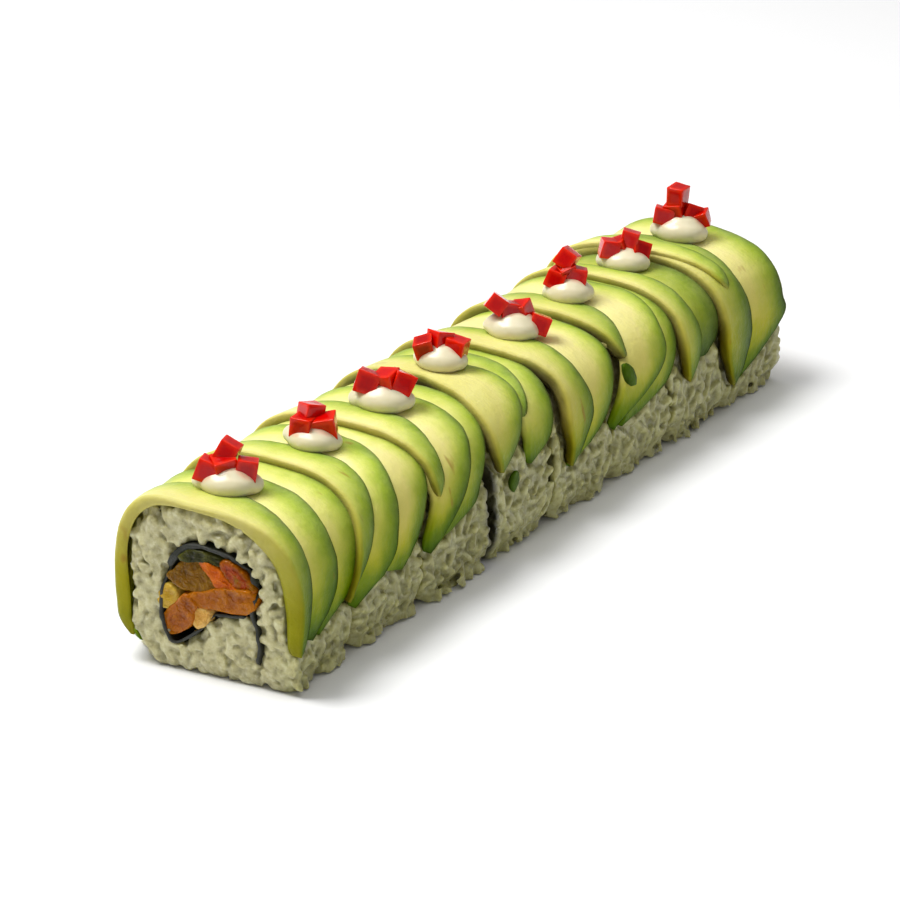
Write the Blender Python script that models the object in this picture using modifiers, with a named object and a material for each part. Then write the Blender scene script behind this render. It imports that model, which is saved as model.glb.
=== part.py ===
"""Uramaki roll: eight cut pieces that keep the roll's shape, under fanned avocado slices.

The roll lies along X with its shown cut end at -X. Z is up and the flat underside is at Z = 0.
Sizes named below are in metres. Along the roll they count from the shown cut end, and "across"
is the distance over the top of the roll from its ridge, positive towards -Y.
"""
import math
import random

import bmesh
import bpy
from mathutils import Matrix, Vector

MM = 0.001

# ---- driving dimensions -------------------------------------------------------------------
ROLL_LENGTH = 200 * MM
PIECE_COUNT = 8
ROLL_WIDTH = 47.6 * MM
ROLL_HEIGHT = 35.7 * MM
COVER = 4.8 * MM            # from the rice up to the nominal outside of the avocado
WIDEST_SHARE = 0.42         # height of the widest place, as a share of the roll's height
TOP_POWER = 3.0             # squareness of the rounded top
FOOT_POWER = 5.0            # squareness of the lower corners
GAP = 0.3 * MM              # clearance between pieces that touch
KNIFE_GAP = 0.4 * MM        # between two cut pieces that stand close
OPEN_GAP = 2.2 * MM         # the one cut that stands open
OPEN_CUT = 3                # it is behind this piece

END_REACH = 20 * MM         # how far in the shown end's own shape is felt
END_SWELL_NEAR = 1.8 * MM   # the end bulges this much on the -Y side
END_DRAW_FAR = 7.5 * MM     # and is drawn in this much on the +Y side
END_RISE = 2.2 * MM         # its ridge is this much higher
END_SKEW = 0.127            # slope of the shown cut against a square one

GRID_STEP = 5.2 * MM        # spacing of the mesh lines across the roll
RICE_BULGE = 3.4 * MM       # how far the bare rice swells below the avocado
FOOT_SPREAD = 1.6 * MM      # and how much further at the floor
RICE_CLEAR = 1.6 * MM       # from the tips of the avocado down to the bare rice
RICE_STEPS = 4              # mesh steps along one cut piece
COVERED_STEPS = 7           # mesh steps over one side, down to the avocado's tips
REACH_TESTS = 30
BULGE_RUN = 2.6 * MM        # over this distance the rice swells out below the tips
FOOT_ROUND = 2.6 * MM       # height of the turn at the floor
RICE_RAGGED = 0.5 * MM
FOOT_STEPS = 3
FOOT_DRAWN_IN = 0.97        # the width of the flat underside against the bare rice above it

SLICE_THICK = 2.2 * MM
SLICE_ARC = 81 * MM         # length of one avocado slice over the roll
BACK_LEAN = 0.04
BACK_SWEEP = 8 * MM
BACK_REACH_MAX = 43 * MM
FIRST_BACK_REACH = 45 * MM  # the first slice hangs lower on the +Y side
FIRST_TIP_NEAR = 3.4 * MM   # its least width on the -Y side
FIRST_TIP_FAR = 1.6 * MM    # and on the +Y side
TIP_WIDTH_SHARE = 0.12      # of a slice's width is left at its tips
TIP_THICK_SHARE = 0.35      # of its thickness is left there
FIRST_WIDTH_SHARE = 0.35    # of the first slice's width is left at its +Y tip
TAPER_POWER = 4
FAR_THINNING = 0.35         # a slice's far edge is this much thinner than its near edge
COLUMNS = 3                 # mesh points over a slice, from its near to its far edge
END_COLUMNS = 4             # and in the first pieces, where the roll's end is shaped
TIP_CLEAR = 0.4             # no mesh line nearer to a tip than this share of the grid
SLICE_SHARP = 40            # degrees

NORI_THICK = 0.7 * MM

DOLLOP_HEIGHT = 3.3 * MM
DOLLOP_SHARP = 50           # degrees
LOBE_DEPTHS = ((3, 0.07), (5, 0.04))    # lobes round a dollop, and how far they stand out
SEAT_MARGIN = 3 * MM        # round a dollop, when the highest avocado under it is looked for
DICE_SIZE = 4.1 * MM
DICE_UNEVEN = 0.06          # dice differ this much in size
DICE_SEAT = 0.56            # from the cream up to a die's middle, as a share of its size
DICE_TIP = 5                # degrees

# Avocado slices from the shown end. Each edge is (place at the ridge, lean, sweep of its tip),
# in mm and mm per mm; then how far the slice reaches down the -Y side, and how high its near
# and far edges lie above the rice. A slice that opens a fan lies on both of its neighbours.
FLAT = (0.0, 0.0)
TILTED = (0.0, 4.0)
ON_FLAT = (2.55, 2.8)
ON_TILTED = (2.55, 4.2)
ON_TOP = (5.5, 5.7)
END_SLICE = (0.0, 2.4)
ON_END = (2.55, 3.9)
SLICES = (
    ((0.0, 0.0, 0.0), (13.6, 0.26, -1.0), 43.5, TILTED),
    ((10.9, 0.17, 3.0), (23.2, 0.17, 5.0), 42.0, TILTED),
    ((18.9, 0.13, 2.0), (29.0, 0.10, 3.0), 43.0, FLAT),
    ((26.3, -0.12, 6.5), (41.0, 0.20, 8.0), 38.5, ON_TILTED),
    ((36.8, 0.22, 8.0), (49.0, 0.22, 9.0), 42.0, TILTED),
    ((45.3, 0.20, 7.0), (54.5, 0.10, 10.0), 40.0, FLAT),
    ((50.8, -0.10, -1.0), (66.5, 0.25, 4.0), 28.5, ON_TILTED),
    ((61.6, 0.05, 16.0), (74.5, 0.0, 24.0), 38.5, TILTED),
    ((70.6, 0.0, 14.0), (80.5, 0.0, 16.0), 35.0, FLAT),
    ((78.5, 0.12, 0.0), (95.0, 0.0, 11.5), 31.8, ON_FLAT),
    ((95.4, 0.0, 3.9), (100.5, 0.12, 5.5), 22.0, ON_FLAT),
    ((91.0, 0.10, 4.0), (106.0, 0.0, 9.0), 34.5, FLAT),
    ((101.5, -0.03, 2.0), (114.7, -0.03, 3.0), 42.0, ON_FLAT),
    ((110.8, 0.0, 5.0), (127.8, 0.12, 6.0), 41.0, FLAT),
    ((126.0, -0.08, 0.0), (138.0, 0.10, 3.0), 23.5, ON_TILTED),
    ((134.2, 0.0, 14.0), (151.2, 0.0, 17.0), 38.0, TILTED),
    ((147.0, 0.0, 10.0), (155.0, 0.0, 6.0), 37.5, FLAT),
    ((151.7, 0.0, 0.0), (160.0, -0.05, 0.0), 36.0, ON_FLAT),
    ((156.4, -0.08, 2.0), (175.0, 0.12, 3.0), 38.5, FLAT),
    ((173.0, -0.15, -2.0), (181.0, 0.02, 0.0), 22.0, ON_TOP),
    ((172.0, 0.0, 0.0), (186.5, 0.03, 6.0), 45.5, ON_END),
    ((182.4, 0.0, 3.0), (199.8, 0.0, 8.0), 43.5, END_SLICE),
)

# The nori sheet's middle line seen from the shown end, (y, z) in mm: up the tail that is left
# under the roll, round the filling, and back to the inside of the tail.
NORI_LINE = (
    (-14.8, 3.8), (-15.9, 8.6), (-15.2, 13.0), (-14.2, 16.6), (-15.3, 20.5), (-14.9, 23.6),
    (-12.6, 26.2), (-8.6, 28.2), (-3.4, 29.0), (0.9, 27.6), (3.9, 23.9), (5.7, 19.6),
    (6.2, 14.0), (5.5, 8.8), (3.6, 6.4), (0.6, 8.2), (-2.6, 10.9), (-5.2, 13.9),
    (-8.8, 15.0), (-12.6, 15.7),
)
NORI_TAIL_POINTS = 4
NORI_ROOM = 0.4 * MM        # round the sheet, in the rice

# Filling strips: centre (y, z), half sizes (y, z) and turn, in mm and degrees.
FILLINGS = {
    "filling_green_stem": ((-1.2, 24.5), (2.5, 2.0), -12, (0.30, 0.33, 0.14)),
    "filling_brown_strip": ((-0.9, 20.5), (3.6, 1.6), -8, (0.42, 0.22, 0.07)),
    "filling_coral_strip": ((-6.2, 24.2), (2.2, 2.6), 12, (0.78, 0.20, 0.05)),
    "filling_red_strip": ((-11.2, 23.2), (2.2, 2.3), -10, (0.66, 0.12, 0.05)),
    "filling_orange_strip": ((-9.0, 18.5), (4.3, 2.0), -8, (0.82, 0.30, 0.07)),
    "filling_amber_strip": ((2.0, 11.8), (2.9, 2.5), 20, (0.80, 0.34, 0.09)),
    "filling_sprout_1": ((3.3, 16.7), (1.7, 1.9), 0, (0.80, 0.70, 0.40)),
    "filling_sprout_2": ((-2.4, 15.6), (1.7, 1.9), 25, (0.84, 0.66, 0.42)),
}
FILLING_POWER = 2.6
FILLING_SIDES = 12

# Cream dollops: place along the roll, place in Y and radius, in mm, and turn of the lobes.
DOLLOPS = (
    (13.8, 0.2, 6.6, 0.3), (41.2, -1.0, 5.9, 1.2), (66.0, -1.2, 6.6, 2.1), (89.6, 0.0, 6.0, 0.8),
    (114.6, -2.0, 6.1, 1.7), (139.8, -0.6, 5.8, 2.6), (165.4, 0.4, 6.1, 0.5), (188.3, -1.2, 6.7, 1.4),
)
DOLLOP_SIDES = 14
DOLLOP_RISES = ((1.0, 0.0), (1.0, 0.45), (0.86, 0.80), (0.50, 1.0))   # (radius, height) shares

# Red dice on each dollop: offset in X and Y, storey and turn (mm, storeys, degrees).
DICE = (
    ((-2.6, 2.8, 0.0, 20), (-0.4, 0.2, 0.1, 50), (1.6, -3.6, 0.0, 35), (1.8, 0.2, 0.6, 15)),
    ((-1.6, 1.2, 0.0, 10), (1.0, -2.2, 0.1, 30), (1.8, 1.0, 0.3, 60)),
    ((-2.2, 2.4, 0.2, 25), (0.4, -0.8, 0.0, 5), (2.0, -3.6, 0.1, 40)),
    ((-2.4, 2.6, 0.0, 30), (0.6, 0.4, 0.2, 65), (1.6, -3.0, 0.05, 15)),
    ((-1.8, 2.8, 0.4, 20), (0.2, 0.6, 0.1, 45), (2.0, -1.2, 0.0, 10), (3.0, -4.6, -0.2, 35)),
    ((-1.4, 2.0, 0.0, 15), (0.2, 0.2, 0.4, 50), (1.2, -1.6, 0.1, 30), (1.2, 0.6, 0.8, 10)),
    ((-2.2, 2.2, 0.1, 40), (-0.2, 0.6, 0.0, 5), (1.4, -1.0, 0.4, 25), (2.0, -2.8, 0.0, 60)),
    ((-2.4, 3.0, 0.0, 30), (-0.4, 1.0, 0.2, 10), (0.2, 0.4, 0.95, 5), (2.0, -1.8, 0.1, 50),
     (2.8, -4.2, -0.1, 20)),
)


# ---- the roll's section -------------------------------------------------------------------
def end_factor(along):
    """How strongly the shown end's own shape is felt: one at the cut, nothing further in."""
    left = max(0.0, 1.0 - along / END_REACH)
    return left * left


def rim_point(angle, half_width, top, middle):
    """A point of the rounded section; angle 0 is the ridge, pi the middle of the underside."""
    power = TOP_POWER if angle < math.pi / 2 else FOOT_POWER
    reach = half_width * abs(math.sin(angle)) ** (2 / power)
    level = abs(math.cos(angle)) ** (2 / power)
    height = middle + (top - middle) * level if angle < math.pi / 2 else middle * (1 - level)
    return reach, height


def arc_table(steps=1500):
    """Distance over the plain roll's outside for each angle, from the ridge downwards."""
    table = [(0.0, 0.0)]
    last = None
    for step in range(steps + 1):
        angle = math.pi * step / steps
        point = rim_point(angle, ROLL_WIDTH / 2, ROLL_HEIGHT, WIDEST_SHARE * ROLL_HEIGHT)
        if last:
            table.append((table[-1][0] + math.dist(point, last), angle))
        last = point
    return table


ARC_TABLE = arc_table()
FLOOR_ARC = max(arc for arc, angle in ARC_TABLE
                if rim_point(angle, ROLL_WIDTH / 2, ROLL_HEIGHT, WIDEST_SHARE * ROLL_HEIGHT)[1]
                > FOOT_ROUND)


def angle_at(across):
    """The section angle at a distance over the outside from the ridge."""
    distance = abs(across)
    low, high = 0, len(ARC_TABLE) - 1
    while high - low > 1:
        middle = (low + high) // 2
        if ARC_TABLE[middle][0] <= distance:
            low = middle
        else:
            high = middle
    start, end = ARC_TABLE[low], ARC_TABLE[high]
    share = (distance - start[0]) / max(end[0] - start[0], 1e-12)
    return start[1] + (end[1] - start[1]) * min(share, 1.0)


def roll_point(along, across, lift):
    """The point above or below the rice: lift 0 is the rice, COVER the nominal outside."""
    end = end_factor(along)
    angle = angle_at(across)
    near_side = across >= 0
    half_width = ROLL_WIDTH / 2 + (END_SWELL_NEAR if near_side else -END_DRAW_FAR) * end
    top = ROLL_HEIGHT + END_RISE * end
    middle = WIDEST_SHARE * ROLL_HEIGHT
    outer = rim_point(angle, half_width, top, middle)
    inner = rim_point(angle, half_width - COVER, top - COVER, middle)
    if angle > math.pi / 2:
        inner = (inner[0], outer[1])
    share = lift / COVER
    reach = inner[0] + (outer[0] - inner[0]) * share
    height = inner[1] + (outer[1] - inner[1]) * share
    return Vector((along, -reach if near_side else reach, height))


def skewed(point):
    """Moves a point to suit the shown cut, which isn't quite square; felt in the first piece."""
    felt = max(0.0, 1.0 - point.x * PIECE_COUNT / ROLL_LENGTH)
    return Vector((point.x - END_SKEW * point.y * felt, point.y, point.z))


# ---- building helpers ---------------------------------------------------------------------
def clear_scene():
    for thing in list(bpy.data.objects):
        bpy.data.objects.remove(thing, do_unlink=True)


def make_collection(name):
    group = bpy.data.collections.new(name)
    bpy.context.scene.collection.children.link(group)
    return group


def make_material(name, colour, roughness):
    material = bpy.data.materials.new(name)
    material.use_nodes = True
    shader = material.node_tree.nodes["Principled BSDF"]
    shader.inputs["Base Color"].default_value = (*colour, 1.0)
    shader.inputs["Roughness"].default_value = roughness
    shader.inputs["Metallic"].default_value = 0.0
    return material


def add_object(name, mesh, group, material=None):
    thing = bpy.data.objects.new(name, mesh)
    group.objects.link(thing)
    if material:
        mesh.materials.clear()
        mesh.materials.append(material)
    return thing


def mesh_from_rings(name, rings):
    """A closed solid lofted through rings of equal length, with a flat cap on each end."""
    shape = bmesh.new()
    rows = [[shape.verts.new(point) for point in ring] for ring in rings]
    count = len(rings[0])
    for row, after in zip(rows, rows[1:]):
        for i in range(count):
            j = (i + 1) % count
            shape.faces.new((row[i], row[j], after[j], after[i]))
    shape.faces.new(rows[0][::-1])
    shape.faces.new(rows[-1])
    bmesh.ops.recalc_face_normals(shape, faces=shape.faces)
    bmesh.ops.triangulate(shape, faces=[f for f in shape.faces if len(f.verts) > 4])
    mesh = bpy.data.meshes.new(name)
    shape.to_mesh(mesh)
    shape.free()
    return mesh


def mesh_of(thing):
    """The evaluated mesh of a curve or modified object, welded, as a new mesh."""
    bpy.context.view_layer.update()
    evaluated = thing.evaluated_get(bpy.context.evaluated_depsgraph_get())
    mesh = bpy.data.meshes.new_from_object(evaluated)
    mesh.transform(thing.matrix_world)
    shape = bmesh.new()
    shape.from_mesh(mesh)
    bmesh.ops.remove_doubles(shape, verts=shape.verts, dist=0.00001)
    bmesh.ops.recalc_face_normals(shape, faces=shape.faces)
    shape.to_mesh(mesh)
    shape.free()
    bpy.data.objects.remove(thing, do_unlink=True)
    return mesh


def cut_by(target, cutters):
    for cutter in cutters:
        cut = target.modifiers.new("cut_" + cutter.name, "BOOLEAN")
        cut.operation = "DIFFERENCE"
        cut.solver = "EXACT"
        cut.object = cutter


# ---- rice ---------------------------------------------------------------------------------
def piece_limits(number):
    """The start and end of a cut piece along the roll."""
    pitch = ROLL_LENGTH / PIECE_COUNT
    after = OPEN_GAP if number == OPEN_CUT else KNIFE_GAP
    before = OPEN_GAP if number == OPEN_CUT + 1 else KNIFE_GAP
    start = (number - 1) * pitch + (before / 2 if number > 1 else 0.0)
    end = number * pitch - (after / 2 if number < PIECE_COUNT else 0.0)
    return start, end


def back_reach_of(row):
    """How far a slice reaches down the +Y side."""
    if row is SLICES[0]:
        return FIRST_BACK_REACH
    return min(SLICE_ARC - row[2] * MM, BACK_REACH_MAX)


def avocado_end(along, side):
    """How far the avocado reaches over one side of the roll, near one place along it."""
    window = ROLL_LENGTH / PIECE_COUNT / RICE_STEPS
    lowest = 0.0
    for row in SLICES:
        limit = row[2] * MM if side > 0 else back_reach_of(row)
        for step in range(1, REACH_TESTS + 1):
            across = limit * step / REACH_TESTS
            near, far, _ = slice_station(row, side * across, limit)
            if near - window < along < far + window:
                lowest = max(lowest, across)
    return lowest


def rice_ring(along, ragged):
    """The rice's outline at one place: under the avocado, then the bare swollen foot."""
    inset = GAP * (1 + end_factor(along))
    ring = []
    for side in (-1, 1):
        start = avocado_end(along, side) + RICE_CLEAR
        half = []
        for step in range(side < 0, COVERED_STEPS + 1):
            half.append(roll_point(along, side * start * step / COVERED_STEPS, -inset))
        for step in range(FOOT_STEPS):
            share = step / (FOOT_STEPS - 1)
            lift = RICE_BULGE + FOOT_SPREAD * share + ragged.uniform(-RICE_RAGGED, RICE_RAGGED)
            across = start + BULGE_RUN + (FLOOR_ARC - start - BULGE_RUN) * share
            half.append(roll_point(along, side * across, lift))
        sole = half[-1].copy()
        sole.y *= FOOT_DRAWN_IN
        sole.z = 0.0
        half.append(sole)
        ring.append(half)
    return ring[0][::-1] + ring[1]


def make_rice(number, group, material, cutters):
    ragged = random.Random(40 + number)
    start, end = piece_limits(number)
    steps = RICE_STEPS + 1 if number == 1 else RICE_STEPS
    rings = []
    for step in range(steps + 1):
        along = start + (end - start) * step / steps
        rings.append([skewed(point) for point in rice_ring(along, ragged)])
    piece = add_object(f"rice_piece_{number}", mesh_from_rings("rice", rings), group, material)
    cut_by(piece, cutters)


# ---- nori ---------------------------------------------------------------------------------
def smooth_line(knots, steps=2):
    """Points on a smooth curve through (y, z) knots given in mm."""
    points = [Vector(knot) * MM for knot in knots]
    padded = [2 * points[0] - points[1]] + points + [2 * points[-1] - points[-2]]
    line = []
    for a, b, c, d in zip(padded, padded[1:], padded[2:], padded[3:]):
        for step in range(steps):
            t = step / steps
            line.append(0.5 * (2 * b + (c - a) * t + (2 * a - 5 * b + 4 * c - d) * t * t
                               + (3 * b - a - 3 * c + d) * t ** 3))
    line.append(points[-1])
    return line


def sheet_mesh(name, line, thickness, start, end):
    """A sheet that follows a line in the section and runs along the roll."""
    curve = bpy.data.curves.new(name, "CURVE")
    curve.dimensions = "2D"
    curve.fill_mode = "NONE"
    curve.extrude = (end - start) / 2
    spline = curve.splines.new("POLY")
    spline.points.add(len(line) - 1)
    for knot, (y, z) in zip(spline.points, line):
        knot.co = (y, z, 0.0, 1.0)
    thing = bpy.data.objects.new(name, curve)
    bpy.context.scene.collection.objects.link(thing)
    thing.matrix_world = section_frame((start + end) / 2)
    solid = thing.modifiers.new("thickness", "SOLIDIFY")
    solid.thickness = thickness
    solid.offset = 0.0
    solid.use_even_offset = True
    return mesh_of(thing)


def section_frame(along):
    """Turns a flat drawing in X and Y into the roll's section, in Y and Z."""
    turn = Matrix(((0, 0, 1), (1, 0, 0), (0, 1, 0))).to_4x4()
    return Matrix.Translation((along, 0, 0)) @ turn


def skew_front(mesh):
    for vertex in mesh.vertices:
        vertex.co = skewed(vertex.co)


def prism_mesh(name, outline, start, end):
    """A flat outline, (y, z), run straight along the roll."""
    curve = bpy.data.curves.new(name, "CURVE")
    curve.dimensions = "2D"
    curve.fill_mode = "BOTH"
    curve.extrude = (end - start) / 2
    spline = curve.splines.new("POLY")
    spline.points.add(len(outline) - 1)
    for knot, (y, z) in zip(spline.points, outline):
        knot.co = (y, z, 0.0, 1.0)
    spline.use_cyclic_u = True
    thing = bpy.data.objects.new(name, curve)
    bpy.context.scene.collection.objects.link(thing)
    thing.matrix_world = section_frame((start + end) / 2)
    return mesh_of(thing)


def widened_loop(line, margin):
    """The closed outline round a loop that is drawn clockwise, moved outwards by a margin."""
    count = len(line)
    outline = []
    for i in range(count):
        before, here, after = (line[(i + k) % count] for k in (-1, 0, 1))
        ahead = (after - before).normalized()
        outline.append(here + Vector((-ahead.y, ahead.x)) * margin)
    return outline


def make_nori(group, material):
    sheet = sheet_mesh("nori_sheet", smooth_line(NORI_LINE), NORI_THICK, 0.0, ROLL_LENGTH)
    skew_front(sheet)
    add_object("nori_sheet", sheet, group, material)


def make_nori_room(group):
    """What is cut out of the rice: the loop with its filling, and the slot of the tail."""
    start, end = -0.02, ROLL_LENGTH + 0.02
    loop = widened_loop(smooth_line(NORI_LINE[NORI_TAIL_POINTS - 1:]), NORI_THICK / 2 + NORI_ROOM)
    tail = smooth_line(NORI_LINE[:NORI_TAIL_POINTS + 1])
    slot = sheet_mesh("tail_room", tail, NORI_THICK + 2 * NORI_ROOM, start, end)
    for vertex in slot.vertices:
        if vertex.co.z < NORI_LINE[0][1] * MM + GAP:
            vertex.co.z -= 2 * GAP
    cutters = []
    for name, mesh in (("loop_room", prism_mesh("loop_room", loop, start, end)), ("tail_room", slot)):
        cutter = add_object(name, mesh, group)
        cutter.hide_render = True
        cutter.display_type = "WIRE"
        cutters.append(cutter)
    return cutters


# ---- fillings -----------------------------------------------------------------------------
def make_filling(name, centre, halves, turn, group, material):
    outline = []
    lean = math.radians(turn)
    for side in range(FILLING_SIDES):
        angle = 2 * math.pi * side / FILLING_SIDES
        y = math.copysign(abs(math.cos(angle)) ** (2 / FILLING_POWER), math.cos(angle)) * halves[0]
        z = math.copysign(abs(math.sin(angle)) ** (2 / FILLING_POWER), math.sin(angle)) * halves[1]
        outline.append(((centre[0] + y * math.cos(lean) - z * math.sin(lean)) * MM,
                        (centre[1] + y * math.sin(lean) + z * math.cos(lean)) * MM))
    strip = prism_mesh(name, outline, 0.0, ROLL_LENGTH)
    skew_front(strip)
    add_object(name, strip, group, material)


# ---- avocado ------------------------------------------------------------------------------
def edge_place(edge, across, reach):
    """Where a slice's edge lies along the roll, at a distance from the ridge."""
    place, lean, sweep = edge
    if across < 0:
        lean, sweep = BACK_LEAN, BACK_SWEEP / MM
    share = abs(across) / reach
    return place * MM - lean * abs(across) - sweep * MM * share ** 3


def tapered(least, taper):
    """Full at the ridge and down to the least share at a tip."""
    return least + (1 - least) * taper


def slice_station(row, across, back_reach):
    """The near edge, far edge and thickness of a slice at a distance from the ridge."""
    near_edge, far_edge, reach, _ = row
    limit = reach * MM if across >= 0 else back_reach
    share = min(abs(across) / limit, 1.0)
    taper = math.sqrt(1 - share ** TAPER_POWER)
    near = edge_place(near_edge, across, limit)
    far = edge_place(far_edge, across, limit)
    if row is SLICES[0]:
        near = 0.0
        if across < 0:
            far = max(far * tapered(FIRST_WIDTH_SHARE, taper), FIRST_TIP_FAR)
        else:
            far = max(far, FIRST_TIP_NEAR)
    else:
        middle = (near + far) / 2
        half = (far - near) / 2 * tapered(TIP_WIDTH_SHARE, taper)
        near, far = middle - half, middle + half
    return near, far, SLICE_THICK * tapered(TIP_THICK_SHARE, taper)


def make_slice(number, row, group, material):
    reach = row[2] * MM
    back_reach = back_reach_of(row)
    lift_near, lift_far = (level * MM for level in row[3])
    columns = END_COLUMNS if row[0][0] * MM < END_REACH else COLUMNS
    lines = math.ceil(SLICE_ARC / GRID_STEP)
    places = [k * GRID_STEP for k in range(-lines, lines + 1)]
    clear = TIP_CLEAR * GRID_STEP
    inner = [a for a in places if clear - back_reach < a < reach - clear]
    stations = [-back_reach] + inner + [reach]
    rings = []
    for across in stations:
        near, far, thick = slice_station(row, across, back_reach)
        lower, upper = [], []
        for column in range(columns):
            share = column / (columns - 1)
            along = near + (far - near) * share
            base = lift_near + (lift_far - lift_near) * share
            swell = thick * (1.0 - FAR_THINNING * share ** 3)
            for row_points, lift in ((lower, base), (upper, base + swell)):
                row_points.append(skewed(roll_point(along, across, lift)))
        rings.append(lower + upper[::-1])
    mesh = mesh_from_rings(f"avocado_slice_{number:02d}", rings)
    slice_object = add_object(f"avocado_slice_{number:02d}", mesh, group, material)
    mesh.shade_smooth()
    mesh.set_sharp_from_angle(angle=math.radians(SLICE_SHARP))
    return slice_object


# ---- cream and dice -----------------------------------------------------------------------
def top_under(slices, centre, radius):
    """The highest avocado under a round spot."""
    best = 0.0
    for thing in slices:
        for vertex in thing.data.vertices:
            if math.dist(vertex.co[:2], centre) < radius + SEAT_MARGIN:
                best = max(best, vertex.co.z)
    return best


def make_dollop(number, row, slices, group, material):
    along, y, radius, turn = row
    along, y, radius = along * MM, y * MM, radius * MM
    base = top_under(slices, (along, y), radius) + GAP
    rings = []
    for wide, high in DOLLOP_RISES:
        ring = []
        for side in range(DOLLOP_SIDES):
            angle = 2 * math.pi * side / DOLLOP_SIDES
            lobes = 1 + sum(depth * math.cos(count * angle + (k + 1) * turn)
                            for k, (count, depth) in enumerate(LOBE_DEPTHS))
            spread = radius * wide * lobes
            ring.append(Vector((along + spread * math.cos(angle), y + spread * math.sin(angle),
                                base + DOLLOP_HEIGHT * high)))
        rings.append(ring)
    mesh = mesh_from_rings("cream", rings)
    add_object(f"cream_dollop_{number}", mesh, group, material)
    mesh.shade_smooth()
    mesh.set_sharp_from_angle(angle=math.radians(DOLLOP_SHARP))
    return Vector((along, y, base + DOLLOP_HEIGHT))


def make_dice(number, row, seat, group, cutters, material):
    """One heap of dice, joined where they lean on each other."""
    shape = bmesh.new()
    low = min(storey for _, _, storey, _ in row)
    heap = None
    for index, (x, y, storey, turn) in enumerate(row):
        bmesh.ops.create_cube(shape, size=DICE_SIZE * (1 + DICE_UNEVEN * math.sin(3 * index + number)))
        mesh = bpy.data.meshes.new("die")
        shape.to_mesh(mesh)
        shape.clear()
        lift = (storey - low) * DICE_SIZE + DICE_SIZE * DICE_SEAT + GAP
        tip = Matrix.Rotation(math.radians(DICE_TIP * math.sin(index + number)), 4, "X")
        spin = Matrix.Rotation(math.radians(turn), 4, "Z")
        mesh.transform(Matrix.Translation(seat + Vector((x * MM, y * MM, lift))) @ spin @ tip)
        if heap is None:
            heap = add_object(f"red_dice_{number}", mesh, group, material)
            continue
        helper = add_object(f"die_{number}_{index}", mesh, cutters)
        helper.hide_render = True
        helper.display_type = "WIRE"
        join = heap.modifiers.new("join", "BOOLEAN")
        join.operation = "UNION"
        join.solver = "EXACT"
        join.object = helper
    shape.free()


# ---- the whole roll -----------------------------------------------------------------------
def centre_on_box(groups):
    """Moves everything so that the whole stands centred on the origin."""
    bpy.context.view_layer.update()
    graph = bpy.context.evaluated_depsgraph_get()
    low, high = [1.0, 1.0], [-1.0, -1.0]
    for thing in groups[0].objects:
        mesh = thing.evaluated_get(graph).to_mesh()
        for vertex in mesh.vertices:
            for axis in (0, 1):
                low[axis] = min(low[axis], vertex.co[axis])
                high[axis] = max(high[axis], vertex.co[axis])
    shift = Matrix.Translation((-(low[0] + high[0]) / 2, -(low[1] + high[1]) / 2, 0))
    for group in groups:
        for thing in group.objects:
            thing.data.transform(shift)


def main():
    clear_scene()
    group = make_collection("uramaki_roll")
    cutters_group = make_collection("cutters")
    rice = make_material("rice", (0.72, 0.72, 0.62), 0.45)
    nori = make_material("nori", (0.012, 0.016, 0.012), 0.5)
    avocado = make_material("avocado", (0.52, 0.56, 0.16), 0.35)
    cream = make_material("cream", (0.86, 0.84, 0.74), 0.3)
    red = make_material("red_dice", (0.70, 0.02, 0.01), 0.15)

    cutters = make_nori_room(cutters_group)
    for number in range(1, PIECE_COUNT + 1):
        make_rice(number, group, rice, cutters)
    make_nori(group, nori)
    for name, (centre, halves, turn, colour) in FILLINGS.items():
        make_filling(name, centre, halves, turn, group, make_material(name, colour, 0.3))
    slices = [make_slice(number, row, group, avocado) for number, row in enumerate(SLICES, 1)]
    for number, (row, heap) in enumerate(zip(DOLLOPS, DICE), 1):
        seat = make_dollop(number, row, slices, group, cream)
        make_dice(number, heap, seat, group, cutters_group, red)
    centre_on_box((group, cutters_group))


main()
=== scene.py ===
import math
import random

import bmesh
import bpy
import numpy as np
from mathutils import Matrix, Vector
from mathutils.bvhtree import BVHTree
from mathutils.geometry import tessellate_polygon
from mathutils.kdtree import KDTree


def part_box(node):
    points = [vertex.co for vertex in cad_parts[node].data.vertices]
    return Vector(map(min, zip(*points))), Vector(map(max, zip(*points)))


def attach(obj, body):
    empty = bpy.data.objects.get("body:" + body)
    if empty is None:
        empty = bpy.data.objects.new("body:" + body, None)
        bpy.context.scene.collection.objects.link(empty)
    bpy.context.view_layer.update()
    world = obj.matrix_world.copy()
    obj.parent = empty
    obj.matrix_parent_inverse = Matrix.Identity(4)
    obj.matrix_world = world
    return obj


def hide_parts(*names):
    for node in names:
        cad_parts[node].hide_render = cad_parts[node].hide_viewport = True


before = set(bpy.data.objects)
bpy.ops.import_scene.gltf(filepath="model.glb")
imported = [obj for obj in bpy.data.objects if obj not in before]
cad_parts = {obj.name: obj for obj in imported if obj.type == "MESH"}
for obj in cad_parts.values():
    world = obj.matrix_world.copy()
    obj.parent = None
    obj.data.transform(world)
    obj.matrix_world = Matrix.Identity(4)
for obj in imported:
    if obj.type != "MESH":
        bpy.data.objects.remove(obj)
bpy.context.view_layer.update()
rng = np.random.default_rng(7)
mm = 0.001

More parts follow.
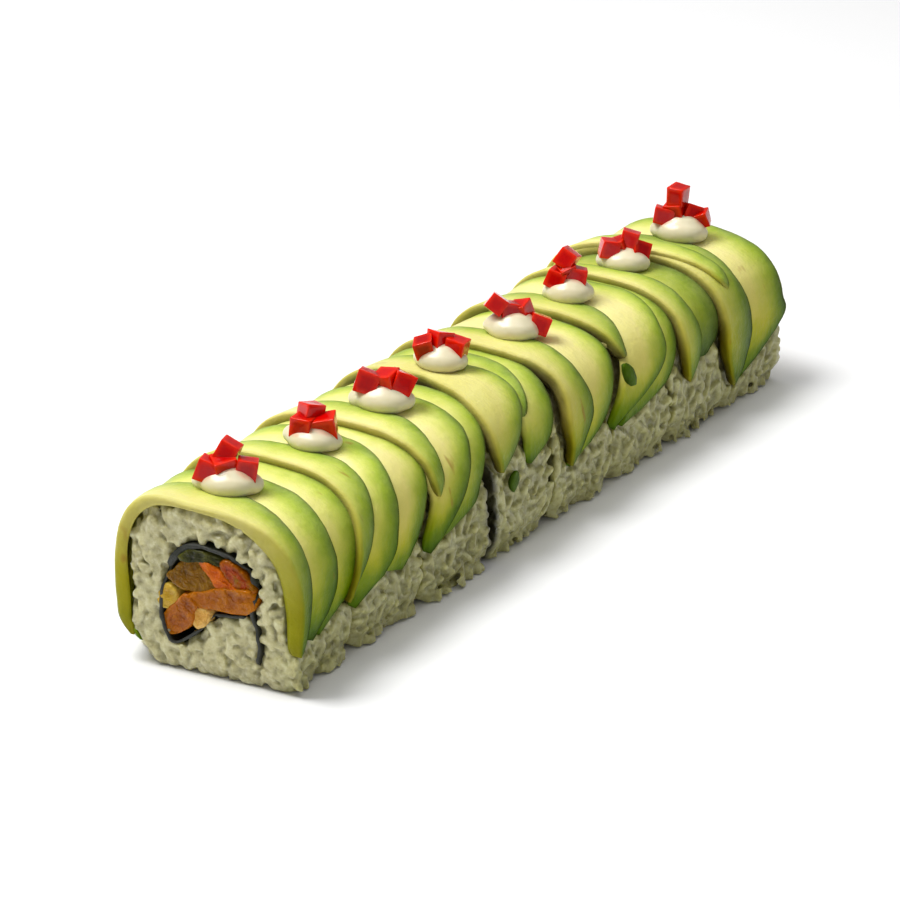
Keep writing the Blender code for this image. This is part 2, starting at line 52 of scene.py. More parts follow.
# The roll's own measures, in mm. "Along" counts from the shown cut end, and "across" is
# the distance over the top from the ridge, positive towards the long side at -Y.
# Near the shown end the far side is drawn in, its foot tucked in more, and the ridge risen.
roll = {
    "length": 200.0, "pieces": 8, "width": 47.6, "height": 35.7, "cover": 4.8,
    "widestShare": 0.42, "topPower": 3.0, "footPower": 5.0,
    "endReach": 20.0, "swellNear": 1.8, "drawFar": 7.5, "tuckFar": 5.5, "tuckHigh": 10.0,
    "endRise": 2.2, "skew": 0.127, "solePlace": 2.6,
    "knifeGap": 0.4, "openGap": 2.2, "openCut": 3, "amberMiddle": 2.0,
}
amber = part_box("filling_amber_strip")
place = Vector((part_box("nori_sheet")[1][0] - roll["length"] * mm,
                (amber[0][1] + amber[1][1]) / 2 - roll["amberMiddle"] * mm, 0.0))

# Every avocado slice, in mm: where its far (skin) edge lies along the roll at 0, 10, 20, 30
# and 36 mm down the -Y side, then how far down its tip is and where, and how green it is.
# An opener lies over the slice before it and also says where its raised near edge is.
# "back" is how far a slice hangs down the other side, and "under" lies beneath the next one.
sliceRows = (
    {"darkening": 0.6, "far": (13.6, 11.0, 8.0, 6.4, 5.2), "tip": (43.5, 0.6), "green": 0.35,
     "near": (0, 0, 0, 0, 0), "back": 46.5},
    {"far": (22.0, 21.0, 18.7, 17.6, 15.4), "tip": (42.0, 6.5), "green": 0.45, "back": 49.0},
    {"far": (33.0, 32.0, 31.0, 28.0, 25.5), "tip": (43.0, 11.5), "green": 0.50, "under": True,
     "back": 46.0},
    {"far": (38.8, 38.8, 35.6, 30.4, 25.6), "tip": (39.5, 22.3), "green": 0.45,
     "near": (29.6, 29.2, 28.0, 25.2, 23.2)},
    {"darkening": 0.0, "far": (49.0, 47.3, 43.5, 39.8, 37.2), "tip": (41.5, 24.5), "green": 0.30},
    {"far": (56.0, 56.0, 56.0, 51.0, 47.4), "tip": (40.3, 42.5), "green": 0.0, "under": True},
    {"far": (64.0, 63.4, 60.0, 57.0, 56.0), "tip": (28.6, 56.0), "green": 0.40,
     "near": (53.3, 53.6, 54.3, 55.4, 55.6)},
    {"far": (73.6, 73.4, 71.2, 65.1, 58.5), "tip": (40.0, 51.5), "green": 0.25},
    {"far": (82.0, 81.5, 78.4, 72.4, 68.4), "tip": (39.6, 54.5), "green": 0.35, "under": True},
    {"darkening": 0.6, "far": (94.6, 95.0, 92.2, 85.6, 80.0), "tip": (31.8, 79.0), "green": 0.10,
     "near": (82.8, 79.8, 77.4, 77.0, 77.6)},
    {"far": (100.6, 99.6, 94.8, 93.0, 92.0), "tip": (23.0, 91.5), "green": 0.35},
    {"far": (106.5, 106.0, 103.4, 99.8, 92.0), "tip": (34.4, 91.5), "green": 0.45, "under": True},
    {"darkening": 0.55, "far": (114.6, 115.4, 114.6, 115.0, 111.5), "tip": (40.5, 106.5), "green": 0.15,
     "near": (103.8, 104.0, 105.6, 104.4, 105.2)},
    {"far": (130.5, 130.0, 129.0, 124.6, 119.5), "tip": (41.2, 107.2), "green": 0.10, "under": True},
    {"darkening": 0.6, "far": (139.6, 138.9, 134.3, 132.5, 132.0), "tip": (23.4, 132.4), "green": 0.40,
     "near": (129.4, 129.6, 130.4, 132.0, 132.0)},
    {"far": (152.2, 152.2, 149.2, 144.3, 136.0), "tip": (38.0, 124.0), "green": 0.12},
    {"far": (156.5, 156.0, 155.0, 152.0, 146.0), "tip": (39.4, 129.0), "green": 0.30, "under": True},
    {"far": (162.0, 162.5, 162.0, 162.0, 159.0), "tip": (37.8, 157.0), "green": 0.30,
     "near": (154.0, 154.0, 154.4, 154.4, 155.2)},
    {"darkening": 1.0, "far": (174.0, 173.5, 173.0, 171.4, 166.0), "tip": (34.5, 165.6), "green": 1.3,
     "under": True},
    {"darkening": 0.0, "far": (180.6, 180.4, 178.4, 177.6, 177.0), "tip": (22.0, 177.4), "green": 0.35,
     "near": (171.6, 173.0, 175.6, 177.0, 177.0), "lipUp": 1.2, "highUp": 1.3},
    {"darkening": 0.6, "far": (186.0, 185.8, 183.7, 184.6, 184.6), "tip": (46.5, 178.2), "green": 0.6,
     "near": (172.0, 172.0, 171.6, 172.6, 172.8)},
    {"far": (199.8, 199.0, 199.1, 199.8, 199.8), "tip": (45.6, 179.0), "green": 0.4},
)
sliceForm = {
    "places": (0.0, 10.0, 20.0, 30.0, 36.0), "arc": 81.0, "backLean": 0.04, "backSweep": 8.0,
    "backReach": 43.0, "stations": 84, "underlap": 4.5, "tipHalf": 1.9, "tipRun": 4.4, "tipThin": 2.2,
    "low": 3.95, "high": 4.8, "lip": 5.75, "tucked": 3.6,      # heights over the plain rice
    "nearThick": 1.95, "farThick": 0.85, "wall": 4.3, "wallLean": 1.5,
    "firstTop": 4.5, "firstFace": 4.4, "edgeRound": 0.7, "edgeWobble": 0.25, "sideBulge": 0.18,
    "darkening": 0.2,
}


# the roll's section, the same as the solid model's
def rimPoint(angle, halfWidth, top, middle):
    upper = angle < math.pi / 2
    power = np.where(upper, roll["topPower"], roll["footPower"])
    reach = halfWidth * np.abs(np.sin(angle)) ** (2 / power)
    level = np.abs(np.cos(angle)) ** (2 / power)
    height = np.where(upper, middle + (top - middle) * level, middle * (1 - level))
    return reach, height


def arcTable():
    angles = np.linspace(0.0, math.pi, 3001)
    reach, height = rimPoint(angles, roll["width"] / 2, roll["height"],
                             roll["widestShare"] * roll["height"])
    steps = np.hypot(np.diff(reach), np.diff(height))
    return angles, np.concatenate([[0.0], np.cumsum(steps)]), height


tableAngles, tableArcs, tableHeights = arcTable()
floorArc = float(tableArcs[tableHeights > roll["solePlace"]].max())    # where the foot turns under


# the shown cut isn't quite square: felt through the first piece only
def skewFelt(along):
    return np.clip(1.0 - along * roll["pieces"] / roll["length"], 0.0, None)


def skewedAlong(along, y):
    return along - roll["skew"] * y * skewFelt(along)


def nearEndShare(along):
    return np.clip(1.0 - along / roll["endReach"], 0.0, None) ** 2


# points over the rice: lift 0 is the rice, lift cover the nominal outside
def rollPoints(along, across, lift):
    along, across, lift = np.broadcast_arrays(np.asarray(along, float), across, lift)
    end = nearEndShare(along)
    angle = np.interp(np.abs(across), tableArcs, tableAngles)
    side = np.where(across >= 0, roll["swellNear"], -roll["drawFar"])
    halfWidth = roll["width"] / 2 + side * end
    top = roll["height"] + roll["endRise"] * end
    middle = roll["widestShare"] * roll["height"]
    outer = rimPoint(angle, halfWidth, top, middle)
    inner = rimPoint(angle, halfWidth - roll["cover"], top - roll["cover"], middle)
    innerHeight = np.where(angle > math.pi / 2, outer[1], inner[1])
    share = lift / roll["cover"]
    reach = inner[0] + (outer[0] - inner[0]) * share
    height = innerHeight + (outer[1] - innerHeight) * share
    tuck = roll["tuckFar"] * end * np.clip(1 - height / roll["tuckHigh"], 0, 1) ** 1.3
    y = np.where(across >= 0, -reach, reach - tuck)
    return np.stack([skewedAlong(along, y), y, height], -1)


def pieceLimits(number):
    pitch = roll["length"] / roll["pieces"]
    before = roll["openGap"] if number == roll["openCut"] + 1 else roll["knifeGap"]
    after = roll["openGap"] if number == roll["openCut"] else roll["knifeGap"]
    start = (number - 1) * pitch + (before / 2 if number > 1 else 0.0)
    end = number * pitch - (after / 2 if number < roll["pieces"] else 0.0)
    return start, end


# a smooth wandering line: a function of a place in mm, within about -1 to 1
def waves(seed, count=4, longest=24.0):
    own = random.Random(seed)
    parts = [(own.uniform(0.6, 1.0) / (k + 1), 2 * math.pi * (k + 1) / longest * own.uniform(0.7, 1.2),
              own.uniform(0, 6.28)) for k in range(count)]
    total = sum(p[0] for p in parts)
    return lambda x: sum(a * np.sin(f * np.asarray(x, float) + s) for a, f, s in parts) / total


def smoothLine(knots, steps=4, closed=False):
    points = np.array(knots, float)
    if closed:
        padded = np.vstack([points[-1:], points, points[:2]])
    else:
        padded = np.vstack([2 * points[0] - points[1], points, 2 * points[-1] - points[-2]])
    line = []
    for a, b, c, d in zip(padded, padded[1:], padded[2:], padded[3:]):
        for step in range(steps):
            t = step / steps
            line.append(0.5 * (2 * b + (c - a) * t + (2 * a - 5 * b + 4 * c - d) * t * t
                               + (3 * b - a - 3 * c + d) * t ** 3))
    if not closed:
        line.append(points[-1])
    return np.array(line)


def insidePolygon(points, polygon):
    y, z = points[:, 0], points[:, 1]
    inside = np.zeros(len(points), bool)
    for (y0, z0), (y1, z1) in zip(polygon, np.roll(polygon, -1, 0)):
        crosses = (z0 > z) != (z1 > z)
        inside ^= crosses & (y < (y1 - y0) * (z - z0) / (z1 - z0 + 1e-12) + y0)
    return inside


def distanceToLine(points, line):
    best = np.full(len(points), 1e9)
    for a, b in zip(line, line[1:]):
        ab = b - a
        t = np.clip(((points - a) @ ab) / (ab @ ab + 1e-12), 0, 1)
        best = np.minimum(best, np.linalg.norm(points - a - t[:, None] * ab, axis=1))
    return best


# a mesh piece from points in mm, with optional named values for each point
def addPiece(name, points, faces, material, replaced, values=None):
    mesh = bpy.data.meshes.new(name)
    world = np.asarray(points, float) * mm + np.array(place)
    mesh.from_pydata(world.tolist(), [], faces if isinstance(faces, list) else faces.tolist())
    for key, numbers in (values or {}).items():
        mesh.attributes.new(key, "FLOAT", "POINT").data.foreach_set("value", np.asarray(numbers, "f"))
    mesh.polygons.foreach_set("use_smooth", [True] * len(mesh.polygons))
    mesh.materials.append(material)
    mesh.update()
    piece = bpy.data.objects.new(name, mesh)
    bpy.context.scene.collection.objects.link(piece)
    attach(piece, "root")
    if replaced:
        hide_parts(*replaced)
    return piece


# quads over a grid of points; the columns close on themselves
def gridFaces(rows, columns, offset=0):
    faces = []
    for i in range(rows - 1):
        for j in range(columns):
            k = (j + 1) % columns
            a, b = i * columns, (i + 1) * columns
            faces.append((offset + a + j, offset + a + k, offset + b + k, offset + b + j))
    return faces


# a material that is put together node by node
class Shader:
    def __init__(self, name):
        self.material = bpy.data.materials.new(name)
        self.material.use_nodes = True
        self.tree = self.material.node_tree
        self.surface = self.tree.nodes["Principled BSDF"]

    def node(self, kind, **settings):
        made = self.tree.nodes.new(kind)
        for key, value in settings.items():
            setattr(made, key, value)
        return made

    def link(self, source, target):
        self.tree.links.new(source, target)

    def value(self, name):
        return self.node("ShaderNodeAttribute", attribute_name=name).outputs["Fac"]

    def noise(self, scale, detail=3.0, roughness=0.55, stretch=(1, 1, 1), distortion=0.0):
        spot = self.node("ShaderNodeTexCoord")
        turn = self.node("ShaderNodeMapping")
        turn.inputs["Scale"].default_value = stretch
        made = self.node("ShaderNodeTexNoise")
        made.inputs["Scale"].default_value = scale
        made.inputs["Detail"].default_value = detail
        made.inputs["Roughness"].default_value = roughness
        made.inputs["Distortion"].default_value = distortion
        self.link(spot.outputs["Object"], turn.inputs["Vector"])
        self.link(turn.outputs["Vector"], made.inputs["Vector"])
        return made.outputs["Fac"]

    def math(self, operation, a, b=0.0, clamp=False):
        made = self.node("ShaderNodeMath", operation=operation)
        made.use_clamp = clamp
        for spot, item in zip(made.inputs, (a, b)):
            if isinstance(item, (int, float)):
                spot.default_value = item
            else:
                self.link(item, spot)
        return made.outputs[0]

    def ramp(self, factor, stops):
        made = self.node("ShaderNodeValToRGB")
        ends = made.color_ramp.elements
        while len(ends) < len(stops):
            ends.new(0.5)
        for end, (spot, colour) in zip(ends, stops):
            end.position = spot
            end.color = (*colour, 1.0)
        self.link(factor, made.inputs["Fac"])
        return made.outputs["Color"]

    def mix(self, factor, a, b, kind="MIX"):
        made = self.node("ShaderNodeMix", data_type="RGBA", blend_type=kind)
        for spot, item in ((made.inputs["Factor"], factor), (made.inputs[6], a), (made.inputs[7], b)):
            if isinstance(item, (int, float)):
                spot.default_value = item
            elif isinstance(item, tuple):
                spot.default_value = (*item, 1.0)
            else:
                self.link(item, spot)
        return made.outputs[2]

    def spread(self, factor, low, high):
        made = self.node("ShaderNodeMapRange")
        made.inputs["To Min"].default_value = low
        made.inputs["To Max"].default_value = high
        self.link(factor, made.inputs["Value"])
        return made.outputs["Result"]

    def bump(self, height, strength, distance):
        made = self.node("ShaderNodeBump")
        made.inputs["Strength"].default_value = strength
        made.inputs["Distance"].default_value = distance
        self.link(height, made.inputs["Height"])
        self.link(made.outputs["Normal"], self.surface.inputs["Normal"])

    def finish(self, **sockets):
        for key, item in sockets.items():
            spot = self.surface.inputs[key.replace("_", " ")]
            if isinstance(item, (int, float)):
                spot.default_value = item
            elif isinstance(item, tuple):
                spot.default_value = item if len(item) != 3 or spot.type == "VECTOR" else (*item, 1.0)
            else:
                self.link(item, spot)
        return self.material


# the linear colour of a colour given as it looks, 0 to 255
def srgb(red, green, blue):
    return tuple(((c / 255 + 0.055) / 1.055) ** 2.4 if c > 10 else c / 255 / 12.92
                 for c in (red, green, blue))


def makeAvocadoMaterial():
    s = Shader("avocadoFlesh")
    fromSkin = s.value("fromSkin")            # mm in from the skin side
    green = s.value("green")                  # how green this slice is
    down = s.value("down")                    # 0 at the ridge, 1 at the tips; sets the painted shade down the sides
    cutFaceAndShade = s.value("cutFaceAndShade")              # 1 on an opener's raised near edge, up to 2 low on its wall and beneath it, where painted shade goes
    blotch = s.noise(90.0, 4.0, 0.6)
    streak = s.noise(520.0, 2.0, 0.5, (1.0, 0.12, 0.12))
    reach = s.math("ADD", 6.0, s.math("MULTIPLY", green, 10.0))
    reach = s.math("ADD", reach, s.math("MULTIPLY", s.math("SUBTRACT", blotch, 0.5), 9.0))
    reach = s.math("ADD", reach, s.math("MULTIPLY", down, 2.5))
    share = s.math("DIVIDE", fromSkin, reach)
    patchy = s.noise(190.0, 4.0, 0.65)
    share = s.math("ADD", share, s.math("MULTIPLY", s.math("SUBTRACT", streak, 0.5), 0.10))
    share = s.math("ADD", share, s.math("MULTIPLY", s.math("SUBTRACT", patchy, 0.5), 0.35))
    above = s.ramp(share, (
        (0.0, srgb(84, 116, 0)), (0.11, srgb(118, 152, 4)), (0.30, srgb(164, 188, 36)),
        (0.55, srgb(206, 214, 98)), (0.82, srgb(232, 228, 142)), (1.0, srgb(238, 228, 156)),
    ))
    # painted shade: down the sides towards the tips the flesh is painted darker and more olive
    below = s.ramp(share, (
        (0.0, srgb(44, 64, 0)), (0.14, srgb(74, 104, 0)), (0.36, srgb(116, 138, 0)),
        (0.68, srgb(176, 176, 22)), (1.0, srgb(204, 192, 56)),
    ))
    shaded = s.mix(s.math("MULTIPLY", down, 0.96, True), above, below)
    darkening = s.value("darkening")                    # how much darker each slice is made as a whole
    # an opener's raised near edge is darker olive, partly the cut flesh's own colour and partly painted
    # shade; low on its wall and beneath it, painted shade in brown
    shaded = s.mix(s.math("MULTIPLY", s.math("MINIMUM", cutFaceAndShade, 1.0), 0.6), shaded, srgb(170, 152, 34))
    shaded = s.mix(s.math("SUBTRACT", cutFaceAndShade, 1.0, True), shaded, srgb(84, 62, 12))
    shaded = s.mix(darkening, shaded, srgb(208, 214, 144), "MULTIPLY")
    mottle = s.noise(260.0, 3.0, 0.6)
    shaded = s.mix(s.math("MULTIPLY", s.spread(mottle, 0.0, 0.3), s.math("SUBTRACT", 1.0, down)),
                   shaded, srgb(240, 232, 172))
    specks = s.noise(330.0, 2.0, 0.5, (1.0, 0.35, 0.35))
    speckMask = s.ramp(specks, ((0.70, (0, 0, 0)), (0.78, (0.5, 0.5, 0.5))))
    colour = s.mix(speckMask, shaded, srgb(146, 92, 34))
    grain = s.noise(900.0, 3.0, 0.6, (1.0, 0.6, 0.6))
    fibre = s.noise(420.0, 4.0, 0.65, (0.5, 1.0, 1.0))
    s.bump(s.math("ADD", s.math("ADD", grain, fibre), s.math("MULTIPLY", blotch, 1.6)), 0.34, 0.0006)
    rough = s.ramp(s.math("DIVIDE", fromSkin, 2.5),
                   ((0.0, (0.8,) * 3), (0.6, (0.42,) * 3), (1.0, (0.34,) * 3)))
    rough = s.math("ADD", rough, s.math("MULTIPLY", s.math("SUBTRACT", mottle, 0.5), 0.25))
    return s.finish(Base_Color=colour, Roughness=rough,
                    Subsurface_Weight=0.12, Subsurface_Radius=(1.0, 0.9, 0.2), Subsurface_Scale=0.0012,
                    Specular_IOR_Level=0.07)


def makeRiceMaterial():
    s = Shader("riceGrains")
    tone = s.value("tone")                    # each grain's own lightness, with painted shade where the surface lies sunk between grains
    side = s.value("side")                    # 1 on the long sides, 2 deep in the open cut
    cloud = s.noise(140.0, 3.0, 0.55)
    base = s.mix(tone, srgb(118, 112, 66), srgb(200, 194, 146))
    base = s.mix(s.spread(cloud, 0.0, 0.3), base, srgb(192, 188, 144))
    # painted glints: small light spots at random, and small darker flecks
    glintAndFleck = s.noise(620.0, 3.0, 0.6)
    base = s.mix(s.ramp(glintAndFleck, ((0.5, (0, 0, 0)), (0.7, (0.5, 0.5, 0.5)))), base, srgb(226, 224, 186))
    base = s.mix(s.ramp(glintAndFleck, ((0.3, (0.55, 0.55, 0.55)), (0.46, (0, 0, 0)))), base, srgb(112, 106, 58))
    # painted shade: the long sides are painted darker and yellower, and deep in the open cut near black
    shade = s.math("MULTIPLY", s.math("MINIMUM", side, 1.0), 0.8)
    colour = s.mix(shade, base, srgb(222, 226, 190), "MULTIPLY")
    colour = s.mix(s.math("SUBTRACT", side, 1.0, True), colour, srgb(30, 28, 18))
    s.bump(s.noise(1100.0, 3.0, 0.6), 0.3, 0.0004)
    return s.finish(Base_Color=colour, Roughness=s.spread(s.noise(700.0), 0.2, 0.4),
                    Subsurface_Weight=0.9, Subsurface_Radius=(1.0, 0.95, 0.75), Subsurface_Scale=0.0026,
                    Specular_IOR_Level=0.4, Coat_Weight=0.3, Coat_Roughness=0.12)


def makeNoriMaterial():
    s = Shader("noriSheet")
    patch = s.noise(420.0, 4.0, 0.7)
    colour = s.mix(patch, srgb(10, 13, 8), srgb(34, 38, 22))
    s.bump(s.noise(1600.0, 4.0, 0.7), 0.6, 0.0004)
    return s.finish(Base_Color=colour, Roughness=s.spread(patch, 0.25, 0.6), Specular_IOR_Level=0.5)


def makeFillingMaterial(name, dark, mid, light, clear):
    s = Shader(name)
    patch = s.noise(330.0, 4.0, 0.6, (0.4, 1, 1), 0.4)
    threads = s.noise(600.0, 2.0, 0.5, (0.25, 1.0, 1.0))
    share = s.math("ADD", s.math("MULTIPLY", patch, 0.75), s.math("MULTIPLY", threads, 0.25))
    colour = s.ramp(share, ((0.34, dark), (0.5, mid), (0.66, light)))
    # painted highlight: a lighter band round the outline of each cut end
    colour = s.mix(s.math("MULTIPLY", s.value("rim"), 0.5), colour, light)
    s.bump(s.math("ADD", threads, s.math("MULTIPLY", patch, 2.0)), 0.8, 0.0009)
    return s.finish(Base_Color=colour, Roughness=s.spread(patch, 0.10, 0.26), Specular_Tint=light,
                    Subsurface_Weight=clear, Subsurface_Radius=(1.0, 0.4, 0.1), Subsurface_Scale=0.0012,
                    Specular_IOR_Level=0.5, Coat_Weight=0.12, Coat_Roughness=0.04)


def makeCreamMaterial():
    s = Shader("cream")
    blush = s.value("blush")
    cloud = s.noise(300.0, 3.0)
    base = s.mix(s.spread(cloud, 0.0, 1.0), srgb(226, 219, 190), srgb(218, 208, 172))
    colour = s.mix(blush, base, srgb(224, 150, 116))
    s.bump(cloud, 0.12, 0.0006)
    return s.finish(Base_Color=colour, Roughness=0.28, Subsurface_Weight=0.4,
                    Subsurface_Radius=(1.0, 0.9, 0.7), Subsurface_Scale=0.0015,
                    Specular_IOR_Level=0.4, Coat_Weight=0.15, Coat_Roughness=0.15)


def makeDiceMaterial():
    s = Shader("redDice")
    tone = s.value("tone")
    cloud = s.noise(480.0, 3.0, 0.6)
    colour = s.mix(s.math("MULTIPLY", s.math("ADD", cloud, tone), 0.5), srgb(140, 0, 0), srgb(216, 2, 0))
    # painted highlight: the bevelled edges are painted a lighter orange-red
    colour = s.mix(s.math("MULTIPLY", s.value("edge"), 0.6), colour, srgb(234, 44, 6))
    s.bump(s.noise(800.0, 3.0), 0.22, 0.0005)
    return s.finish(Base_Color=colour, Roughness=s.spread(cloud, 0.1, 0.3),
                    Subsurface_Weight=0.3, Subsurface_Radius=(1.0, 0.04, 0.01), Subsurface_Scale=0.002,
                    Specular_IOR_Level=0.1, Coat_Weight=0.4, Coat_Roughness=0.03)


avocadoFlesh = makeAvocadoMaterial()
riceLook = makeRiceMaterial()
noriLook = makeNoriMaterial()
creamLook = makeCreamMaterial()
diceLook = makeDiceMaterial()
print("materials made")


# how high over the plain rice the first slice's rim starts, across the roll
rimLift = ((-46, -38, -28, -12, 0, 8, 18, 30, 45), (1.2, 1.6, 2.6, 3.3, 3.0, 2.6, 1.2, 0.7, 0.9))


# where an edge lies along the roll at places across it, down to one side of the tip
def edgeLine(values, tip, across, side=0):
    places = [p for p in sliceForm["places"] if p < tip[0] - 2.5]
    knots = list(zip(places, values)) + [(tip[0], tip[1] + side * sliceForm["tipHalf"])]
    line = smoothLine(knots, 10)
    order = np.maximum.accumulate(line[:, 0])
    return np.interp(np.clip(across, 0, tip[0]), order, line[:, 1])


def backReach(row):
    return row.get("back") or min(sliceForm["arc"] - row["tip"][0], sliceForm["backReach"])


# a slice's near or far edge at places across it, on both sides of the ridge
def edgeAt(row, key, across):
    share = np.clip(-across, 0, None) / backReach(row)
    lean = sliceForm["backLean"] * np.clip(-across, 0, None) + sliceForm["backSweep"] * share ** 3
    if row is sliceRows[0] and key == "near":
        lean = 0.0
    return edgeLine(row[key], row["tip"], across, 1 if key == "far" else -1) - lean


# near edge, far edge, where it starts to show, and the taper of a slice
def sliceStations(number, across):
    row, before = sliceRows[number - 1], sliceRows[number - 2]
    far = edgeAt(row, "far", across)
    reach, back = row["tip"][0], backReach(row)
    share = np.where(across >= 0, across / reach, -across / back)
    if "near" in row:
        near = start = edgeAt(row, "near", across)
    else:
        ahead = edgeAt(before, "far", np.minimum(across, before["tip"][0]))
        own = edgeAt(row, "far", 0.0 * across) - 15.0
        own = own + (row["tip"][1] - sliceForm["tipHalf"] - own) * np.clip(share, 0, 1) ** 2.4
        covered = np.clip((before["tip"][0] * 0.97 - across) / 5.0, 0, 1)
        near = own + (np.minimum(own, ahead - sliceForm["underlap"]) - own) * covered
        start = near + (ahead - near) * covered
        if row.get("under") and number > 2:
            start = np.minimum(start, far - 2)
    run = sliceForm["tipRun"] / np.where(across >= 0, reach, back)
    tipRound = np.sqrt(np.clip(1 - (np.clip(share - 1 + run, 0, 1) / run) ** 2, 0, 1))
    middle = np.where(across >= 0, row["tip"][1], (near + far) / 2 if number > 1 else 0.0)
    if number == 1:
        tipRound = np.where(across < 0, np.sqrt(np.clip(1 - share ** 8, 0, 1)), tipRound)
    near = middle + (near - middle) * tipRound
    far = middle + (far - middle) * tipRound
    low = np.minimum(near, far)
    return low, np.maximum(far, low + 0.05), start, share


def makeSlice(number, row):
    reach, back = row["tip"][0], backReach(row)
    own = [waves(100 * k + number, 4 + k, length) for k, length in enumerate((24.0, 18.0, 40.0, 13.0), 1)]
    turn = np.linspace(-math.pi / 2, math.pi / 2, sliceForm["stations"])
    spread = 0.45 * np.sin(turn) + 0.55 * turn / (math.pi / 2)
    across = np.where(spread < 0, spread * back, spread * reach)
    near, far, start, share = sliceStations(number, across)
    wobble = sliceForm["edgeWobble"] * np.minimum(1, (far - near) / 6)
    if number > 1:
        near = near + wobble * own[0](across)
    far = far + wobble * own[1](across)
    opener = "near" in row
    # one ring round the slice: over the top, down the far edge, back beneath and up the near edge
    topShare = np.array([0.0, 0.015, 0.04, 0.08, 0.14, 0.22, 0.32, 0.42, 0.52, 0.62, 0.71, 0.79, 0.86,
                         0.91, 0.945, 0.97, 0.985, 1.0])
    lowShare = np.array([0.98, 0.9, 0.7, 0.5, 0.3, 0.1, 0.02])
    shares = np.concatenate([topShare, [1.0, 1.0], lowShare, [0.0, 0.0]])
    level = np.concatenate([np.ones(len(topShare)), [0.66, 0.3], np.zeros(len(lowShare)), [0.3, 0.66]])
    points, skin, downs, cutFaceAndShade = [], [], [], []
    for i, a in enumerate(across):
        width = far[i] - near[i]
        bulge = np.where(level < 1, sliceForm["sideBulge"] * np.sin(math.pi * level), 0) * min(1, width)
        along = near[i] + width * shares + np.where(shares > 0.5, bulge, -bulge)
        shown = np.clip((along - start[i]) / max(far[i] - start[i], 2.0), -1.0, 1.0)
        tipFade = np.clip((share[i] - 0.72) / 0.28, 0, 1) ** 1.5
        if number == 1:
            rim = float(np.interp(a, *rimLift))
            extra = float(np.interp(a, (-40, -14, 0, 12, 30), (1.0, 1.2, 0.1, 0.0, 0.5)))
            top = sliceForm["firstTop"] + 0.3 * shown + extra * (1 - shares)
            face = sliceForm["firstFace"] + extra - rim
            thick = face + (sliceForm["farThick"] - face) * shares ** 0.8
        elif opener:
            lip = sliceForm["lip"] + row.get("lipUp", 0.0)
            high = sliceForm["high"] + row.get("highUp", 0.0)
            top = lip + (high - lip) * shares ** 0.8
            growing = sliceForm["wall"] - sliceForm["farThick"]
            thick = sliceForm["farThick"] + growing * (1 - shares) ** 1.6
            along = along + sliceForm["wallLean"] * (1 - level) * (1 - shares) * min(1, width / 5)
        else:
            high = sliceForm["tucked"] if row.get("under") else sliceForm["high"]
            top = sliceForm["low"] + (high - sliceForm["low"]) * shown
            top = np.where(shown < 0, sliceForm["low"] + 1.1 * shown, top)
            thinning = sliceForm["farThick"] - sliceForm["nearThick"]
            thick = sliceForm["nearThick"] + thinning * shares ** 1.3
        top = top * (1 - 0.10 * tipFade)
        thick = np.minimum(thick * (1 - 0.30 * tipFade), top - 0.1)
        tipFree = (reach - a) if a > 0 else (back + a)
        slim = math.sqrt(1 - 0.92 * max(0.0, min(1.0, 1 - tipFree / sliceForm["tipThin"])) ** 2)
        top, thick = top - thick * (1 - slim) * 0.4, thick * slim
        inFromNear, inFromFar = shares * width, (1 - shares) * width
        nearFall = np.clip(1 - inFromNear / sliceForm["edgeRound"], 0, 1) ** 2 * 0.5
        farFall = (np.clip(1 - inFromFar / 0.45, 0, 1) ** 2 * 0.28
                   + np.clip(1 - inFromFar / 1.6, 0, 1) ** 2 * 0.22)
        ripple = (0.10 * np.sin(math.pi * shares) + 0.05 * own[3](along * 1.3 + a)
                  + 0.07 * own[2](a + along * 0.4))
        fall = (nearFall + farFall) * min(1, width / 2)
        lift = top - thick * (1 - level) + np.where(level == 1, ripple - fall, 0)
        lift = np.where(level == 0, np.minimum(lift, top - 0.3), lift)
        points.append(rollPoints(along, a, lift))
        onSkin = np.minimum(inFromFar, tipFree * 0.8 + 0.5)
        onSkin = np.where((level < 1) & (shares > 0.9), 0.0, onSkin)
        skin.append(np.clip(onSkin, 0, None))
        # painted shade: low on an opener's near wall and all along beneath it
        wall = np.where((level < 1) & (shares < 0.05), 1 - level, 0.0) + (level == 0) * (shares < 0.9)
        wall = np.clip(wall, 0, 1) * (number > 1)
        cutFaceAndShade.append(np.clip(1 - inFromNear / 0.9, 0, 1) + wall if opener else np.zeros(len(shares)))
        # how far down the side, for the painted shade of the sides
        downs.append(np.full(len(shares), np.clip((abs(a) - 12) / 22, 0, 1)))
    columns = len(shares)
    points, skin, downs, cutFaceAndShade = (np.concatenate(p) for p in (points, skin, downs, cutFaceAndShade))
    faces = gridFaces(len(across), columns)
    first, last = len(points), len(points) + 1
    ends = [points[:columns].mean(0), points[-columns:].mean(0)]
    faces += [(first, (j + 1) % columns, j) for j in range(columns)]
    begin = (len(across) - 1) * columns
    faces += [(last, begin + j, begin + (j + 1) % columns) for j in range(columns)]
    points = np.vstack([points, ends])
    skin = np.concatenate([skin, [0.3, 0.3]])
    downs = np.concatenate([downs, [1.0, 1.0]])
    cutFaceAndShade = np.concatenate([cutFaceAndShade, [0.0, 0.0]])
    name = f"avocado_slice_{number:02d}"
    return addPiece(f"avocadoSlice{number:02d}", points, faces, avocadoFlesh, [name],
                    {"fromSkin": skin, "down": downs, "cutFaceAndShade": cutFaceAndShade,
                     "green": np.full(len(skin), row["green"]),
                     "darkening": np.full(len(skin), row.get("darkening", sliceForm["darkening"]))})


# loose scraps of the avocado's green rim: along, across, height, length, width, turn in degrees
scraps = ((130.6, 27.2, 4.7, 6.4, 3.6, -28.0), (83.6, 35.4, 3.75, 4.6, 3.4, 12.0))


